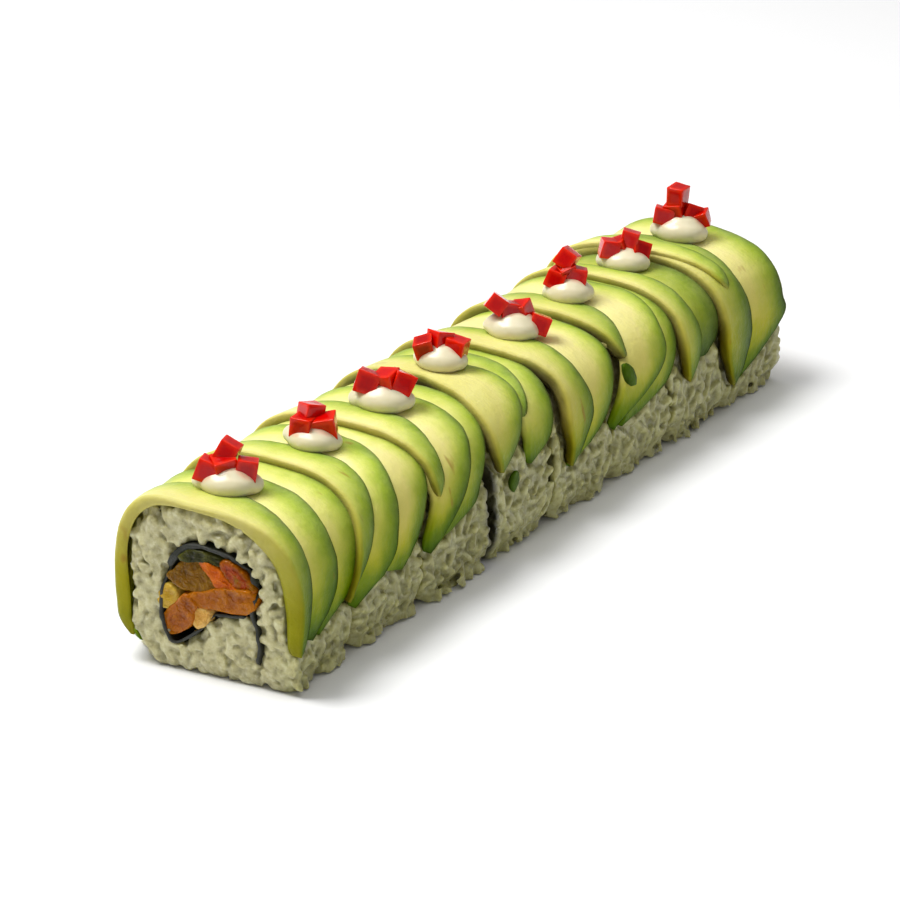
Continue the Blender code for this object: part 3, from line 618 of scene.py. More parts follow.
# a thin curved chip that lies on the roll
def makeScrap(number, along, across, lift, length, width, turn):
    wave = waves(900 + number, 3, 5.0)
    points, skin = [], []
    rings, columns = 9, 6
    for layer in (1, 0):
        for k in range(rings):
            t = -1 + 2 * k / (rings - 1)
            half = 0.5 * width * math.sqrt(max(0.02, 1 - abs(t) ** 2.6)) * (1 + 0.12 * float(wave(k)))
            for side in np.linspace(-1, 1, columns):
                u, v = 0.5 * length * t, half * side
                c, s = math.cos(math.radians(turn)), math.sin(math.radians(turn))
                thick = 0.45 * (1 - 0.6 * side * side) * (1 - 0.6 * t * t) + 0.12
                points.append(rollPoints(along + c * v - s * u, across + c * u + s * v,
                                         lift + (thick if layer else -thick) + 0.15 * t * t))
                skin.append(1.0 + 1.6 * (1 - abs(side)))
    under = rings * columns                                # the lower layer's points come after these
    faces = []
    for k in range(rings - 1):
        for j in range(columns - 1):
            a, b = k * columns + j, (k + 1) * columns + j
            faces += [(a, a + 1, b + 1, b), (under + a, under + b, under + b + 1, under + a + 1)]
        for j in (0, columns - 1):
            a, b = k * columns + j, (k + 1) * columns + j
            faces.append((a, b, under + b, under + a) if j == 0 else (a, under + a, under + b, b))
    for j in range(columns - 1):
        a, b = j, (rings - 1) * columns + j
        faces += [(a, under + a, under + a + 1, a + 1), (b, b + 1, under + b + 1, under + b)]
    count = len(points)
    # a scrap lies low and takes the full painted shade of the sides
    addPiece(f"avocadoScrap{number}", np.array(points), faces, avocadoFlesh, None,
             {"fromSkin": skin, "down": np.ones(count), "cutFaceAndShade": np.zeros(count),
              "green": np.ones(count), "darkening": np.full(count, sliceForm["darkening"])})


slices = [makeSlice(number, row) for number, row in enumerate(sliceRows, 1)]
for number, form in enumerate(scraps, 1):
    makeScrap(number, *form)
print("avocado slices laid:", len(slices))


def treeOf(objects):
    points, faces = [], []
    for thing in objects:
        offset = len(points)
        points += [v.co.copy() for v in thing.data.vertices]
        faces += [[offset + k for k in p.vertices] for p in thing.data.polygons]
    return BVHTree.FromPolygons(points, faces)


avocadoTree = treeOf(slices)


# height of the avocado at a place given in mm
def surfaceAt(x, y):
    spot = Vector((x * mm, y * mm, 0)) + place
    hit = avocadoTree.ray_cast(Vector((spot.x, spot.y, 0.1)), Vector((0, 0, -1)))
    return (hit[0].z / mm) if hit[0] else 99.0


rice = {
    "low": 0.6, "bulge": 3.0, "footSpread": 1.5, "under": 3.0, "run": 5.0, "farRise": 2.6,
    "layers": ((2.15, 0.95), (2.0, 1.6)),        # the grains' spacing and depth, outer layer first
    "faceLayers": ((1.9, 0.65), (1.75, 1.35)),   # the same on a cut face
    "soleSpacing": 2.1, "strayShare": 0.5,
    "length": (3.8, 5.6), "width": (2.0, 2.6), "sides": 8, "rings": 7,
    "coreIn": 0.95, "coreEnd": 1.25, "loopRoom": 0.75, "noriRoom": 1.3,
    "proud": 0.4, "bite": 2.6, "chipRun": 3.0,
    "voxel": 0.3, "soften": 2, "keep": 0.33,
}
# how far the foot is chipped back at each cut between two pieces, in mm, from the near end
chips = (0.0, 5.2, 4.4, 0.8, 3.4, 2.6, 4.2, 2.4, 0.5)
noriLine = (
    (-14.8, 3.8), (-15.9, 8.6), (-15.2, 13.0), (-14.2, 16.6), (-15.3, 20.5), (-14.9, 23.6),
    (-12.6, 26.2), (-8.6, 28.2), (-3.4, 29.0), (0.9, 27.6), (3.9, 23.9), (5.7, 19.6),
    (6.2, 14.0), (5.5, 8.8), (3.6, 6.4), (0.6, 8.2), (-2.6, 10.9), (-5.2, 13.9),
    (-8.8, 15.0), (-12.6, 15.7),
)
noriTail = 4
noriPath = smoothLine(noriLine)
loopOutline = smoothLine(noriLine[noriTail - 1:], 3)


# how far down one side the avocado reaches, for each place along the roll
def avocadoEnds(side, places):
    lowest = np.zeros(len(places))
    for number, row in enumerate(sliceRows, 1):
        limit = row["tip"][0] if side > 0 else backReach(row)
        across = np.linspace(0.5, limit, 60)
        near, far, _, _ = sliceStations(number, side * across)
        for a, low, high in zip(across, near, far):
            covered = (places > low - 0.8) & (places < high + 0.8)
            lowest = np.where(covered, np.maximum(lowest, a), lowest)
    return lowest


tablePlaces = np.linspace(0, roll["length"], 401)
evenOut = np.ones(9) / 9
endTable = {side: np.convolve(np.pad(avocadoEnds(side, tablePlaces), 4, "edge"), evenOut, "valid")
            for side in (-1, 1)}


# how high the rice stands: low under the avocado, swollen towards its tips and below
def riceLift(along, across):
    side = np.where(across >= 0, np.interp(along, tablePlaces, endTable[1]),
                    np.interp(along, tablePlaces, endTable[-1]))
    share = np.clip((np.abs(across) - side + rice["under"]) / rice["run"], 0, 1)
    lift = rice["low"] + (rice["bulge"] - rice["low"]) * share * share * (3 - 2 * share)
    foot = np.clip((np.abs(across) - side) / np.maximum(floorArc - side, 1), 0, 1)
    end = nearEndShare(along)
    lift = lift + rice["footSpread"] * foot * np.where(across < 0, 1 - end, 1.0)
    rim = np.interp(across, *rimLift) - 0.1
    rim = rim + 1.3 * np.clip((-across - 34) / 8, 0, 1) + 0.8 * np.clip((across - 36) / 6, 0, 1)
    nearEnd = np.clip(1 - along / 5.0, 0, 1) * (1 - share)
    farEnd = np.clip((along - roll["length"] + 6.0) / 5.0, 0, 1) * (1 - share)
    return lift + (rim - lift) * nearEnd + rice["farRise"] * farEnd


frayWave, toothWave = waves(321, 7, 11.0), waves(322, 5, 5.0)
# how much further out than the next one each piece's foot is pressed, in mm
footOut = (1.2, 0.2, 1.6, -0.4, 0.3, -0.2, 0.6, 0.0)


# how far the foot is chipped back, in mm, beside the cuts at a piece's ends
def chipAt(number, points):
    start, end = pieceLimits(number)
    chip = np.zeros(len(points))
    for cut, gap in ((number - 1, points[:, 0] - start), (number, end - points[:, 0])):
        deep = np.where(points[:, 1] < 0, chips[cut], chips[-1 - cut])
        chip = np.maximum(chip, deep * np.clip(1 - np.clip(gap, 0, None) / rice["chipRun"], 0, 1) ** 1.3)
    return chip


# how far the underside stands clear of the table beneath a chipped foot
def hollowUnder(number, points):
    return 0.5 * chipAt(number, points) * np.clip((np.abs(points[:, 1]) - 11) / 8, 0, 1)


# how far out a long side reaches at each point, frayed and chipped at the foot
def footLimit(number, points):
    start, end = pieceLimits(number)
    along, height = points[:, 0], points[:, 2]
    stations, levels = np.linspace(start - 1, end + 1, 12), np.linspace(0.0, 30.0, 61)
    limit = np.zeros(len(points))
    for side in (1, -1):
        arcs = side * np.linspace(18.0, floorArc, 60)
        table = []
        for station in stations:
            ring = rollPoints(station, arcs, riceLift(np.full(arcs.shape, station), arcs))
            rising = np.argsort(ring[:, 2])
            table.append(np.interp(levels, ring[rising, 2], np.abs(ring[rising, 1])))
        table = np.array(table)
        spot = np.clip((along - stations[0]) / (stations[1] - stations[0]), 0, len(stations) - 1.001)
        first, part = spot.astype(int), spot % 1
        level = np.clip(height / (levels[1] - levels[0]), 0, len(levels) - 1.001)
        low, step = level.astype(int), level % 1
        found = ((table[first, low] * (1 - step) + table[first, low + 1] * step) * (1 - part)
                 + (table[first + 1, low] * (1 - step) + table[first + 1, low + 1] * step) * part)
        limit = np.where(points[:, 1] * side < 0, found, limit)
    other = 311.0 * (points[:, 1] > 0)                     # the two sides fray in their own ways
    fray = np.clip(0.45 + 1.3 * frayWave(along + other) + 0.4 * toothWave(along * 1.1 + other), 0, 1)
    limit = limit - rice["bite"] * fray * np.clip(1 - height / 4.5, 0, 1)
    limit = limit + footOut[number - 1] * np.clip(1 - height / 9, 0, 1)
    return limit - chipAt(number, points) * np.clip(1.15 - height / 8, 0, 1)


def widened(line, margin):
    ahead = np.roll(line, -1, 0) - np.roll(line, 1, 0)
    ahead /= np.linalg.norm(ahead, axis=1)[:, None]
    return line + np.stack([-ahead[:, 1], ahead[:, 0]], -1) * margin


# the pressed mass behind the grains, open where the nori's loop runs through
def makeCore(number):
    start, end = pieceLimits(number)
    deep = rice["coreEnd"]
    places = np.linspace(start + deep, end - deep, 15)
    outerAcross = np.concatenate([np.linspace(-floorArc, 0, 34)[:-1], np.linspace(0, floorArc, 34)])
    loop = widened(loopOutline, rice["loopRoom"])
    rings, loops = [], []
    for along in places:
        lift = riceLift(np.full(outerAcross.shape, along), outerAcross)
        inner = lift - rice["coreIn"]
        ring = rollPoints(along, outerAcross, inner)
        reach = footLimit(number, ring) - rice["coreIn"]
        low = ring[:, 2] < 27
        ring[low, 1] = (np.sign(ring[:, 1]) * np.minimum(np.abs(ring[:, 1]), reach))[low]
        ring[:, 2] = np.maximum(ring[:, 2], 0.9 + hollowUnder(number, ring))
        foot = ring[[-1, 0]].copy()
        foot[:, 1] *= 0.95
        rings.append(np.vstack([ring, foot]))
        loops.append(np.column_stack([skewedAlong(along, loop[:, 0]), loop]))
    outerCount, loopCount = len(rings[0]), len(loop)
    points = np.vstack(rings + loops)
    base = len(places) * outerCount
    faces = gridFaces(len(places), outerCount) + gridFaces(len(places), loopCount, offset=base)
    for row in (0, len(places) - 1):
        outerIds = [row * outerCount + k for k in range(outerCount)]
        loopIds = [base + row * loopCount + k for k in range(loopCount)]
        flatOuter = [Vector((p[1], p[2], 0)) for p in points[outerIds]]
        flatLoop = [Vector((p[1], p[2], 0)) for p in points[loopIds]]
        ids = outerIds + loopIds
        for triangle in tessellate_polygon([flatOuter, flatLoop]):
            faces.append(tuple(ids[k] for k in triangle))
    return points, faces


# a few bent rice grains of unit length and width; rows of points and their faces
def grainTemplates(count=7):
    own = random.Random(5)
    shapes = []
    for _ in range(count):
        bend = own.uniform(0.05, 0.22)
        fat = own.uniform(-0.12, 0.12)
        points = [(-0.5, 0.0, bend * 0.5)]
        for ring in range(1, rice["rings"]):
            t = -math.cos(math.pi * ring / rice["rings"])
            radius = 0.5 * (1 - abs(t) ** 2.5) ** (1 / 2.5) * (1 + fat * t)
            for side in range(rice["sides"]):
                turn = 2 * math.pi * side / rice["sides"]
                flatten = 0.84 if math.sin(turn) < 0 else 0.9
                dent = 1 - 0.08 * max(0.0, math.cos(turn)) ** 3
                points.append((t * 0.5, radius * math.cos(turn) * dent,
                               radius * math.sin(turn) * flatten + bend * (2 * t * t - 1) * 0.5))
        points.append((0.5, 0.0, bend * 0.5))
        shapes.append(np.array(points))
    sides, rings = rice["sides"], rice["rings"]
    faces = [(0, 1 + (k + 1) % sides, 1 + k, 1 + k) for k in range(sides)]
    for ring in range(rings - 2):
        a, b = 1 + ring * sides, 1 + (ring + 1) * sides
        faces += [(a + k, a + (k + 1) % sides, b + (k + 1) % sides, b + k) for k in range(sides)]
    last = 1 + (rings - 1) * sides
    a = 1 + (rings - 2) * sides
    faces += [(a + k, a + (k + 1) % sides, last, last) for k in range(sides)]
    return shapes, np.array(faces)


grainShapes, grainFaces = grainTemplates()


# keeps candidates that stand at least a spacing apart, in the order given
def spacedSpots(candidates, spacing):
    kept, cells = [], {}
    around = [tuple(o - 1 for o in offset) for offset in np.ndindex(*(3,) * candidates.shape[1])]
    for index, spot in enumerate(candidates):
        cell = tuple(int(v // spacing) for v in spot)
        near = [cells.get(tuple(c + o for c, o in zip(cell, offset)), ()) for offset in around]
        if all(np.sum((candidates[k] - spot) ** 2) >= spacing ** 2 for group in near for k in group):
            kept.append(index)
            cells.setdefault(cell, []).append(index)
    return kept


# grain places on the bare rice below the avocado and on the turn at the floor
def sideSpots(number):
    start, end = pieceLimits(number)
    spots = []
    for side in (-1, 1):
        places = []
        for spacing, deep in rice["layers"]:
            along = rng.uniform(start + 0.7, end - 0.7, 2600)
            low = np.interp(along, tablePlaces, endTable[side]) - 6.5
            across = low + (floorArc + 0.6 - low) * rng.random(2600)
            keep = spacedSpots(np.column_stack([along, across]), spacing)
            sunk = rng.uniform(deep - 0.25, deep + 0.25, len(keep))
            places.append(np.column_stack([along[keep], side * across[keep], sunk]))
        along, across, sunk = np.vstack(places).T
        lift = riceLift(along, across) - sunk
        here = rollPoints(along, across, lift)
        ahead = rollPoints(along + 0.2, across, lift) - here
        over = rollPoints(along, across + 0.2, lift) - here
        normal = np.cross(over, ahead)
        normal /= np.linalg.norm(normal, axis=1)[:, None]
        # stray grains that lie along the foot
        stray = np.arange(start + 1.5, end - 1.5, 1.0)
        stray = stray + rng.uniform(-0.5, 0.5, len(stray))
        stray = stray[rng.random(len(stray)) < rice["strayShare"]]
        foot = rollPoints(stray, side * (floorArc - 3.5), riceLift(stray, side * (floorArc - 3.5)))
        foot[:, 1] += -side * rng.uniform(-0.9, 1.4, len(stray))
        foot[:, 2] = rng.uniform(1.1, 2.2, len(stray))
        here = np.vstack([here, foot])
        normal = np.vstack([normal, np.tile((0.0, -side * 0.5, 0.87), (len(stray), 1))])
        outward = np.where(here[:, 1] * normal[:, 1] < 0, -1, 1)[:, None]
        spots.append((here, normal * outward, np.full(len(here), 0.22)))
    return spots


# grain places on a cut face, between the avocado and the nori's loop
def faceSpots(along, facing):
    y = rng.uniform(-26, 26, 16000)
    z = rng.uniform(1.0, 39.5, 16000)
    section = np.column_stack([y, z])
    ringAcross = np.concatenate([np.linspace(-floorArc, 0, 50)[:-1], np.linspace(0, floorArc, 50)])
    ringLift = riceLift(np.full(ringAcross.shape, along), ringAcross) - 0.75
    ringLift = ringLift + 0.7 * np.clip((-ringAcross - 15) / 10, 0, 1) * (along < 1)
    outline = rollPoints(along, ringAcross, ringLift)[:, 1:]
    outline = np.vstack([outline, [outline[-1, 0] * 0.97, 0.6], [outline[0, 0] * 0.97, 0.6]])
    loop = widened(loopOutline, rice["loopRoom"])
    keep = insidePolygon(section, outline) & ~insidePolygon(section, loop)
    keep &= distanceToLine(section, noriPath) > rice["noriRoom"]
    section = section[keep]
    half = len(section) // 2
    shells = []
    for part, (spacing, deep) in zip((section[:half], section[half:]), rice["faceLayers"]):
        chosen = part[spacedSpots(part, spacing)]
        shells.append(np.column_stack([chosen, rng.uniform(deep - 0.25, deep + 0.2, len(chosen))]))
    section, inward = np.vstack(shells)[:, :2], np.vstack(shells)[:, 2]
    if along < 1:
        fromRim = distanceToLine(section, outline)
        inward = inward + 0.8 * np.clip(1 - fromRim / 2.5, 0, 1) * np.clip((section[:, 1] - 6) / 6, 0, 1)
    x = skewedAlong(along, section[:, 0]) + inward * -facing
    here = np.column_stack([x, section])
    normal = np.tile((facing, 0.0, 0.0), (len(here), 1)).astype(float)
    return here, normal, np.full(len(here), 0.7)


# grain places on the underside, pressed flat where the roll stands
def soleSpots(number):
    start, end = pieceLimits(number)
    half = roll["width"] / 2 - 3.2
    sole = np.column_stack([rng.uniform(start + 0.8, end - 0.8, 2600), rng.uniform(-half, half, 2600)])
    drawn = (roll["drawFar"] + roll["tuckFar"]) * nearEndShare(sole[:, 0])
    sole = sole[sole[:, 1] < half - drawn]
    sole = sole[spacedSpots(sole, rice["soleSpacing"])]
    x = skewedAlong(sole[:, 0], sole[:, 1])
    here = np.column_stack([x, sole[:, 1], rng.uniform(0.6, 1.0, len(sole))])
    return here, np.tile((0.0, 0.0, -1.0), (len(here), 1)), np.full(len(here), 0.12)


# points and tones of all grains at the given places
def layGrains(spots):
    here, normal, lean = (np.concatenate([s[k] for s in spots]) for k in range(3))
    count = len(here)
    helper = np.where(np.abs(normal[:, 2:3]) > 0.8, [[1.0, 0.0, 0.0]], [[0.0, 0.0, 1.0]])
    first = np.cross(helper, normal)
    first /= np.linalg.norm(first, axis=1)[:, None]
    second = np.cross(normal, first)
    turn = rng.uniform(0, 2 * math.pi, count)[:, None]
    long = np.cos(turn) * first + np.sin(turn) * second
    long = long + normal * rng.normal(0, 1, count)[:, None] * lean[:, None]
    long /= np.linalg.norm(long, axis=1)[:, None]
    wide = np.cross(normal, long)
    wide /= np.linalg.norm(wide, axis=1)[:, None]
    high = np.cross(long, wide)
    spin = rng.normal(0, 0.5, count)[:, None]
    wide, high = np.cos(spin) * wide + np.sin(spin) * high, np.cos(spin) * high - np.sin(spin) * wide
    lengths = rng.uniform(*rice["length"], count)[:, None, None]
    widths = rng.uniform(*rice["width"], count)[:, None, None]
    pick = rng.integers(0, len(grainShapes), count)
    local = np.array(grainShapes)[pick]
    points = (here[:, None, :] + local[:, :, 0:1] * lengths * long[:, None, :]
              + local[:, :, 1:2] * widths * wide[:, None, :] + local[:, :, 2:3] * widths * high[:, None, :])
    tone = np.repeat(rng.random(count), local.shape[1])
    return points, tone


# presses back the grain ends that stand far out of a long side
def levelled(number, points):
    limit = footLimit(number, points)
    beyond = np.abs(points[:, 1]) - limit
    proud = rice["proud"] + 1.0 * np.clip(1 - points[:, 2] / 4.0, 0, 1)
    pressed = np.where(beyond > 0, proud * np.tanh(beyond / proud), beyond)
    near = (points[:, 2] < 27) & (beyond > 0)
    points = points.copy()
    points[near, 1] = (np.sign(points[:, 1]) * (limit + pressed))[near]
    return points


# joins closed shapes that cross each other into one softened surface, in mm
def fused(points, faces):
    mesh = bpy.data.meshes.new("grains")
    mesh.from_pydata((points * mm).tolist(), [], faces)
    cage = bpy.data.objects.new("grains", mesh)
    bpy.context.scene.collection.objects.link(cage)
    join = cage.modifiers.new("join", "REMESH")
    join.mode, join.voxel_size = "VOXEL", rice["voxel"] * mm
    smooth = cage.modifiers.new("smooth", "SMOOTH")
    smooth.factor, smooth.iterations = 0.5, rice["soften"]
    thin = cage.modifiers.new("thin", "DECIMATE")
    thin.ratio = rice["keep"]
    bpy.context.view_layer.update()
    done = bpy.data.meshes.new_from_object(cage.evaluated_get(bpy.context.evaluated_depsgraph_get()))
    bpy.data.objects.remove(cage)
    flatPoints = np.empty(len(done.vertices) * 3)
    done.vertices.foreach_get("co", flatPoints)
    corners = [tuple(p.vertices) for p in done.polygons]
    bpy.data.meshes.remove(done)
    return flatPoints.reshape(-1, 3) / mm, corners


# where a piece's near cut lies at each point
def cutFront(number, points):
    start = pieceLimits(number)[0]
    if number > 1:
        return start
    return start - roll["skew"] * points[:, 1] * skewFelt(points[:, 0])


# one cut piece: the grains and the mass behind them, in one surface
def makeGrains(number):
    start, end = pieceLimits(number)
    spots = sideSpots(number)
    if number in (1, roll["openCut"] + 1):
        spots.append(faceSpots(start, -1))
    if number in (roll["openCut"], roll["pieces"]):
        spots.append(faceSpots(end, 1))
    spots.append(soleSpots(number))
    shapes, tone = layGrains(spots)
    each = shapes.shape[1]
    faces = (grainFaces[None] + (np.arange(len(shapes)) * each)[:, None, None]).reshape(-1, 4)
    faces = [tuple(f) if f[2] != f[3] else (f[0], f[1], f[2]) for f in faces.tolist()]
    points = shapes.reshape(-1, 3)
    own = np.repeat(rng.random(len(shapes)), each)       # each grain is cut at a slightly different depth
    # the knife and the table press the outermost grains flat
    front = cutFront(number, points)
    points[:, 0] = np.clip(points[:, 0], front + 0.3 * own - (0.25 if number == 1 else 0.0),
                           end - 0.3 * own + (0.25 if number == roll["pieces"] else 0.0))
    points = levelled(number, points)
    points[:, 2] = np.maximum(points[:, 2], 0.05 + 0.2 * own + hollowUnder(number, points))
    if number == 1:
        near = np.clip(1 - (points[:, 0] - front) / 3.5, 0, 1)
        low = np.clip(1 - points[:, 2] / 6.0, 0, 1)
        points[:, 0] += 1.5 * near * low ** 2
        # nothing comes through the first slice
        for k in np.flatnonzero((points[:, 0] < 9) & (points[:, 2] > 24)):
            points[k, 2] = min(points[k, 2], surfaceAt(points[k, 0], points[k, 1]) - 0.5)
    # each grain keeps a share of its own tone where it joins the mass
    tree = KDTree(len(shapes))
    for index, centre in enumerate(points.reshape(len(shapes), each, 3).mean(1)):
        tree.insert(centre, index)
    tree.balance()
    ownTone = tone[::each]
    massPoints, massFaces = makeCore(number)
    faces += [tuple(k + len(points) for k in face) for face in massFaces]
    points, faces = fused(np.vstack([points, massPoints]), faces)
    tone = []
    for point in points:
        near = [(ownTone[k], 1 / (0.3 + gap) ** 3) for _, k, gap in tree.find_n(point, 3)]
        tone.append(sum(t * w for t, w in near) / sum(w for _, w in near))
    points[:, 2] = np.maximum(points[:, 2], 0.05)
    # painted shade: points sunk deep below the outer surface, between the grains, get a darker tone
    fromEnd = np.minimum(points[:, 0] - cutFront(number, points), end - points[:, 0])
    sunk = np.minimum(fromEnd, footLimit(number, points) + 0.3 - np.abs(points[:, 1]))
    tone = np.array(tone) * 0.5 + 0.5 * np.clip(1.1 - sunk / 1.4, 0, 1)
    # the long sides, which get painted shade
    side = np.clip((np.abs(points[:, 1]) - 17) / 5, 0, 1) * np.clip((points[:, 0] - 1.0) / 3.0, 0, 1)
    # the open cut stays in deep shade
    for cut, inner in ((roll["openCut"], end - points[:, 0]), (roll["openCut"] + 1, points[:, 0] - start)):
        if number == cut:
            side = np.maximum(side, 1 + np.clip(1 - inner / 1.8, 0, 1))
    return addPiece(f"ricePiece{number}", points, faces, riceLook, [f"rice_piece_{number}"],
                    {"tone": tone, "side": side})


grains = [makeGrains(number) for number in range(1, roll["pieces"] + 1)]
print("rice laid, triangles:", [sum(len(p.vertices) - 2 for p in g.data.polygons) for g in grains])


def makeNori():
    line = smoothLine(noriLine, 5)
    ahead = np.gradient(line, axis=0)
    ahead /= np.linalg.norm(ahead, axis=1)[:, None]
    side = np.stack([-ahead[:, 1], ahead[:, 0]], -1)
    arc = np.concatenate([[0], np.cumsum(np.linalg.norm(np.diff(line, axis=0), axis=1))])
    begin, finish = -0.35, roll["length"] + 0.3            # the sheet stands a little out of both cuts
    places = [begin, 0.4, 1.2, 2.5, 5, 10, 20, 35, 50, 65, 73.8, 76.2, 90, 110, 130, 150, 170, 190,
              195, 197.5, 198.8, 199.6, finish]
    wave = [waves(500 + k, 5, 17.0) for k in range(3)]
    points = []
    for along in places:
        near = math.exp(-min(along - begin, finish - along) / 3.0)
        shift = 0.22 * wave[0](arc + along * 2.0)
        half = 0.27 + 0.12 * wave[1](arc * 1.3 + along)
        half = half + 0.45 * np.exp(-((line[:, 0] - 2.5) ** 2 + (line[:, 1] - 26.3) ** 2) / 22.0)
        edge = (0.45 * wave[2](arc * 1.7) + 1.6 * np.clip(2.2 * wave[2](arc * 0.9) - 0.5, 0, 1)) * near
        for sign in (1, -1):
            section = line + side * (shift + sign * half)[:, None]
            x = skewedAlong(along, section[:, 0]) + edge * (1 if along < 100 else -1)
            row = np.column_stack([x, section])
            points.append(row if sign > 0 else row[::-1])
    columns = len(line) * 2
    rows = len(places)
    points = np.vstack(points)
    faces = gridFaces(rows, columns)
    for row in (0, rows - 1):
        base = row * columns
        strip = [(base + k, base + k + 1, base + columns - 2 - k, base + columns - 1 - k)
                 for k in range(len(line) - 1)]
        faces += strip if row else [f[::-1] for f in strip]
    addPiece("noriSheet", points, faces, noriLook, ["nori_sheet"])


# each strip's outline across the roll (Y, Z), its dark, middle and light colour, and how clear it is
fillings = {
    "filling_green_stem": {"outline": ((0.5, 26.6), (-1.2, 27.7), (-3.8, 27.8), (-6.0, 27.1), (-8.0, 26.6),
                                       (-7.6, 25.7), (-5.2, 25.5), (-2.8, 25.7), (-0.4, 25.2), (1.0, 25.6)),
                           "colours": ((16, 18, 6), (44, 46, 14), (84, 84, 30)), "clear": 0.1},
    "filling_brown_strip": {"outline": ((2.9, 22.4), (0.9, 24.4), (-2.3, 24.9), (-4.0, 23.4), (-5.3, 21.9),
                                        (-5.7, 20.4), (-2.6, 19.2), (0.6, 19.3), (2.8, 20.0), (3.7, 21.0)),
                            "colours": ((80, 52, 0), (116, 76, 0), (142, 100, 10)), "clear": 0.2},
    "filling_coral_strip": {"outline": ((-3.4, 25.1), (-5.7, 25.1), (-7.7, 24.1), (-9.2, 22.6),
                                        (-10.6, 21.4), (-7.6, 20.9), (-6.2, 21.3), (-5.0, 22.9)),
                            "colours": ((150, 54, 0), (192, 84, 0), (214, 116, 20)), "clear": 0.2},
    "filling_red_strip": {"outline": ((-8.2, 26.2), (-10.0, 26.7), (-12.2, 25.2), (-14.2, 22.8),
                                      (-13.8, 21.7), (-11.2, 21.5), (-9.7, 22.8), (-8.5, 24.5)),
                          "colours": ((96, 24, 0), (160, 54, 0), (140, 96, 6)), "clear": 0.15},
    "filling_orange_strip": {"outline": ((-1.9, 18.6), (-4.4, 19.3), (-7.0, 20.3), (-9.7, 20.8),
                                         (-13.3, 21.2), (-14.0, 19.3), (-12.6, 16.9), (-9.5, 16.3),
                                         (-5.8, 16.2), (-2.4, 15.9), (-1.3, 17.0)),
                             "colours": ((128, 60, 0), (158, 86, 0), (186, 112, 14)), "clear": 0.2},
    "filling_amber_strip": {"outline": ((2.6, 15.4), (1.0, 17.3), (-0.8, 17.0), (-1.4, 15.4), (-0.9, 14.0),
                                        (-0.6, 12.0), (0.4, 10.9), (2.9, 9.2), (4.6, 9.9), (5.2, 12.0),
                                        (4.3, 14.0)),
                            "colours": ((120, 54, 0), (154, 80, 0), (182, 108, 12)), "clear": 0.2},
    "filling_sprout_1": {"outline": ((5.6, 18.4), (4.0, 18.5), (2.9, 17.3), (2.9, 15.6), (4.0, 14.2),
                                     (5.6, 14.1), (6.9, 15.3), (7.0, 17.0)),
                         "colours": ((176, 136, 30), (196, 160, 52), (210, 180, 80)), "clear": 0.1},
    "filling_sprout_2": {"outline": ((-1.5, 14.7), (-3.5, 15.3), (-4.5, 14.3), (-3.6, 12.1), (-2.2, 11.0),
                                     (-1.1, 12.0)),
                         "colours": ((196, 132, 40), (214, 164, 76), (224, 186, 110)), "clear": 0.1},
}


def makeFilling(name, form):
    outline = smoothLine(form["outline"], 4, closed=True)
    centre = outline.mean(0)
    colours = [srgb(*c) for c in form["colours"]]
    look = makeFillingMaterial(name.replace("filling_", "") + "Flesh", *colours, clear=form["clear"])
    seed = sum(ord(c) for c in name)
    lumps, wander = waves(seed, 5, 9.0), (waves(seed + 1, 3, 60.0), waves(seed + 2, 3, 60.0))
    out = 0.15 + (seed % 5) * 0.12                     # how far this strip stands out of the cut
    tilt = random.Random(seed).uniform(-1, 1), random.Random(seed + 9).uniform(-1, 1)
    # rings along the strip, each with its share of the full outline
    cutEnd = ((0.0, 0.0), (0.0, 0.3), (0.0, 0.6), (0.0, 0.85), (0.1, 0.95), (0.4, 1.0))
    stations = [(inward - out, scale) for inward, scale in cutEnd]
    stations += [(x, 1.0) for x in (3, 8, 16, 26, 40, 56, 70, 74, 76, 90, 110, 130, 150, 170, 188, 197)]
    stations += [(roll["length"] + out - inward, scale) for inward, scale in reversed(cutEnd)]
    count = len(outline)
    arc = np.arange(count) * 0.6
    rings, ends, paintedHighlightRims = [], [], []
    for along, scale in stations:
        inside = min(1.0, max(0.0, min(along, roll["length"] - along)) / 12.0)
        shift = np.array([wander[0](along), wander[1](along)]) * 0.35 * inside
        fat = 1.22 + 0.11 * lumps(arc + along * 0.35)
        ring = centre + (outline - centre) * scale * fat[:, None] + shift
        x = skewedAlong(along, ring[:, 0])
        if scale < 1:
            uneven = (0.3 * lumps(ring[:, 0] * 2.1 + ring[:, 1] * 1.3)
                      + 0.10 * (ring[:, 1] - centre[1]) * tilt[0]
                      + 0.10 * (ring[:, 0] - centre[0]) * tilt[1])
            x = x + uneven * (1 if along < 100 else -1)
        row = np.column_stack([x, ring])
        if scale == 0:
            ends.append(row[0])
        else:
            rings.append(row)
            # painted highlight, lighter towards each cut end's outline
            paintedHighlightRims += [max(0.0, (scale - 0.6) / 0.4)] * count
    points = np.vstack(rings + [np.array(ends)])
    faces = gridFaces(len(rings), count)
    first, last = len(rings) * count, len(rings) * count + 1
    faces += [(first, (k + 1) % count, k) for k in range(count)]
    base = (len(rings) - 1) * count
    faces += [(last, base + k, base + (k + 1) % count) for k in range(count)]
    addPiece(name.replace("filling_", "") + "Filling", points, faces, look, [name],
             {"rim": paintedHighlightRims + [0.0, 0.0]})


makeNori()
for fillingName, fillingForm in fillings.items():
    makeFilling(fillingName, fillingForm)
print("nori and filling made")


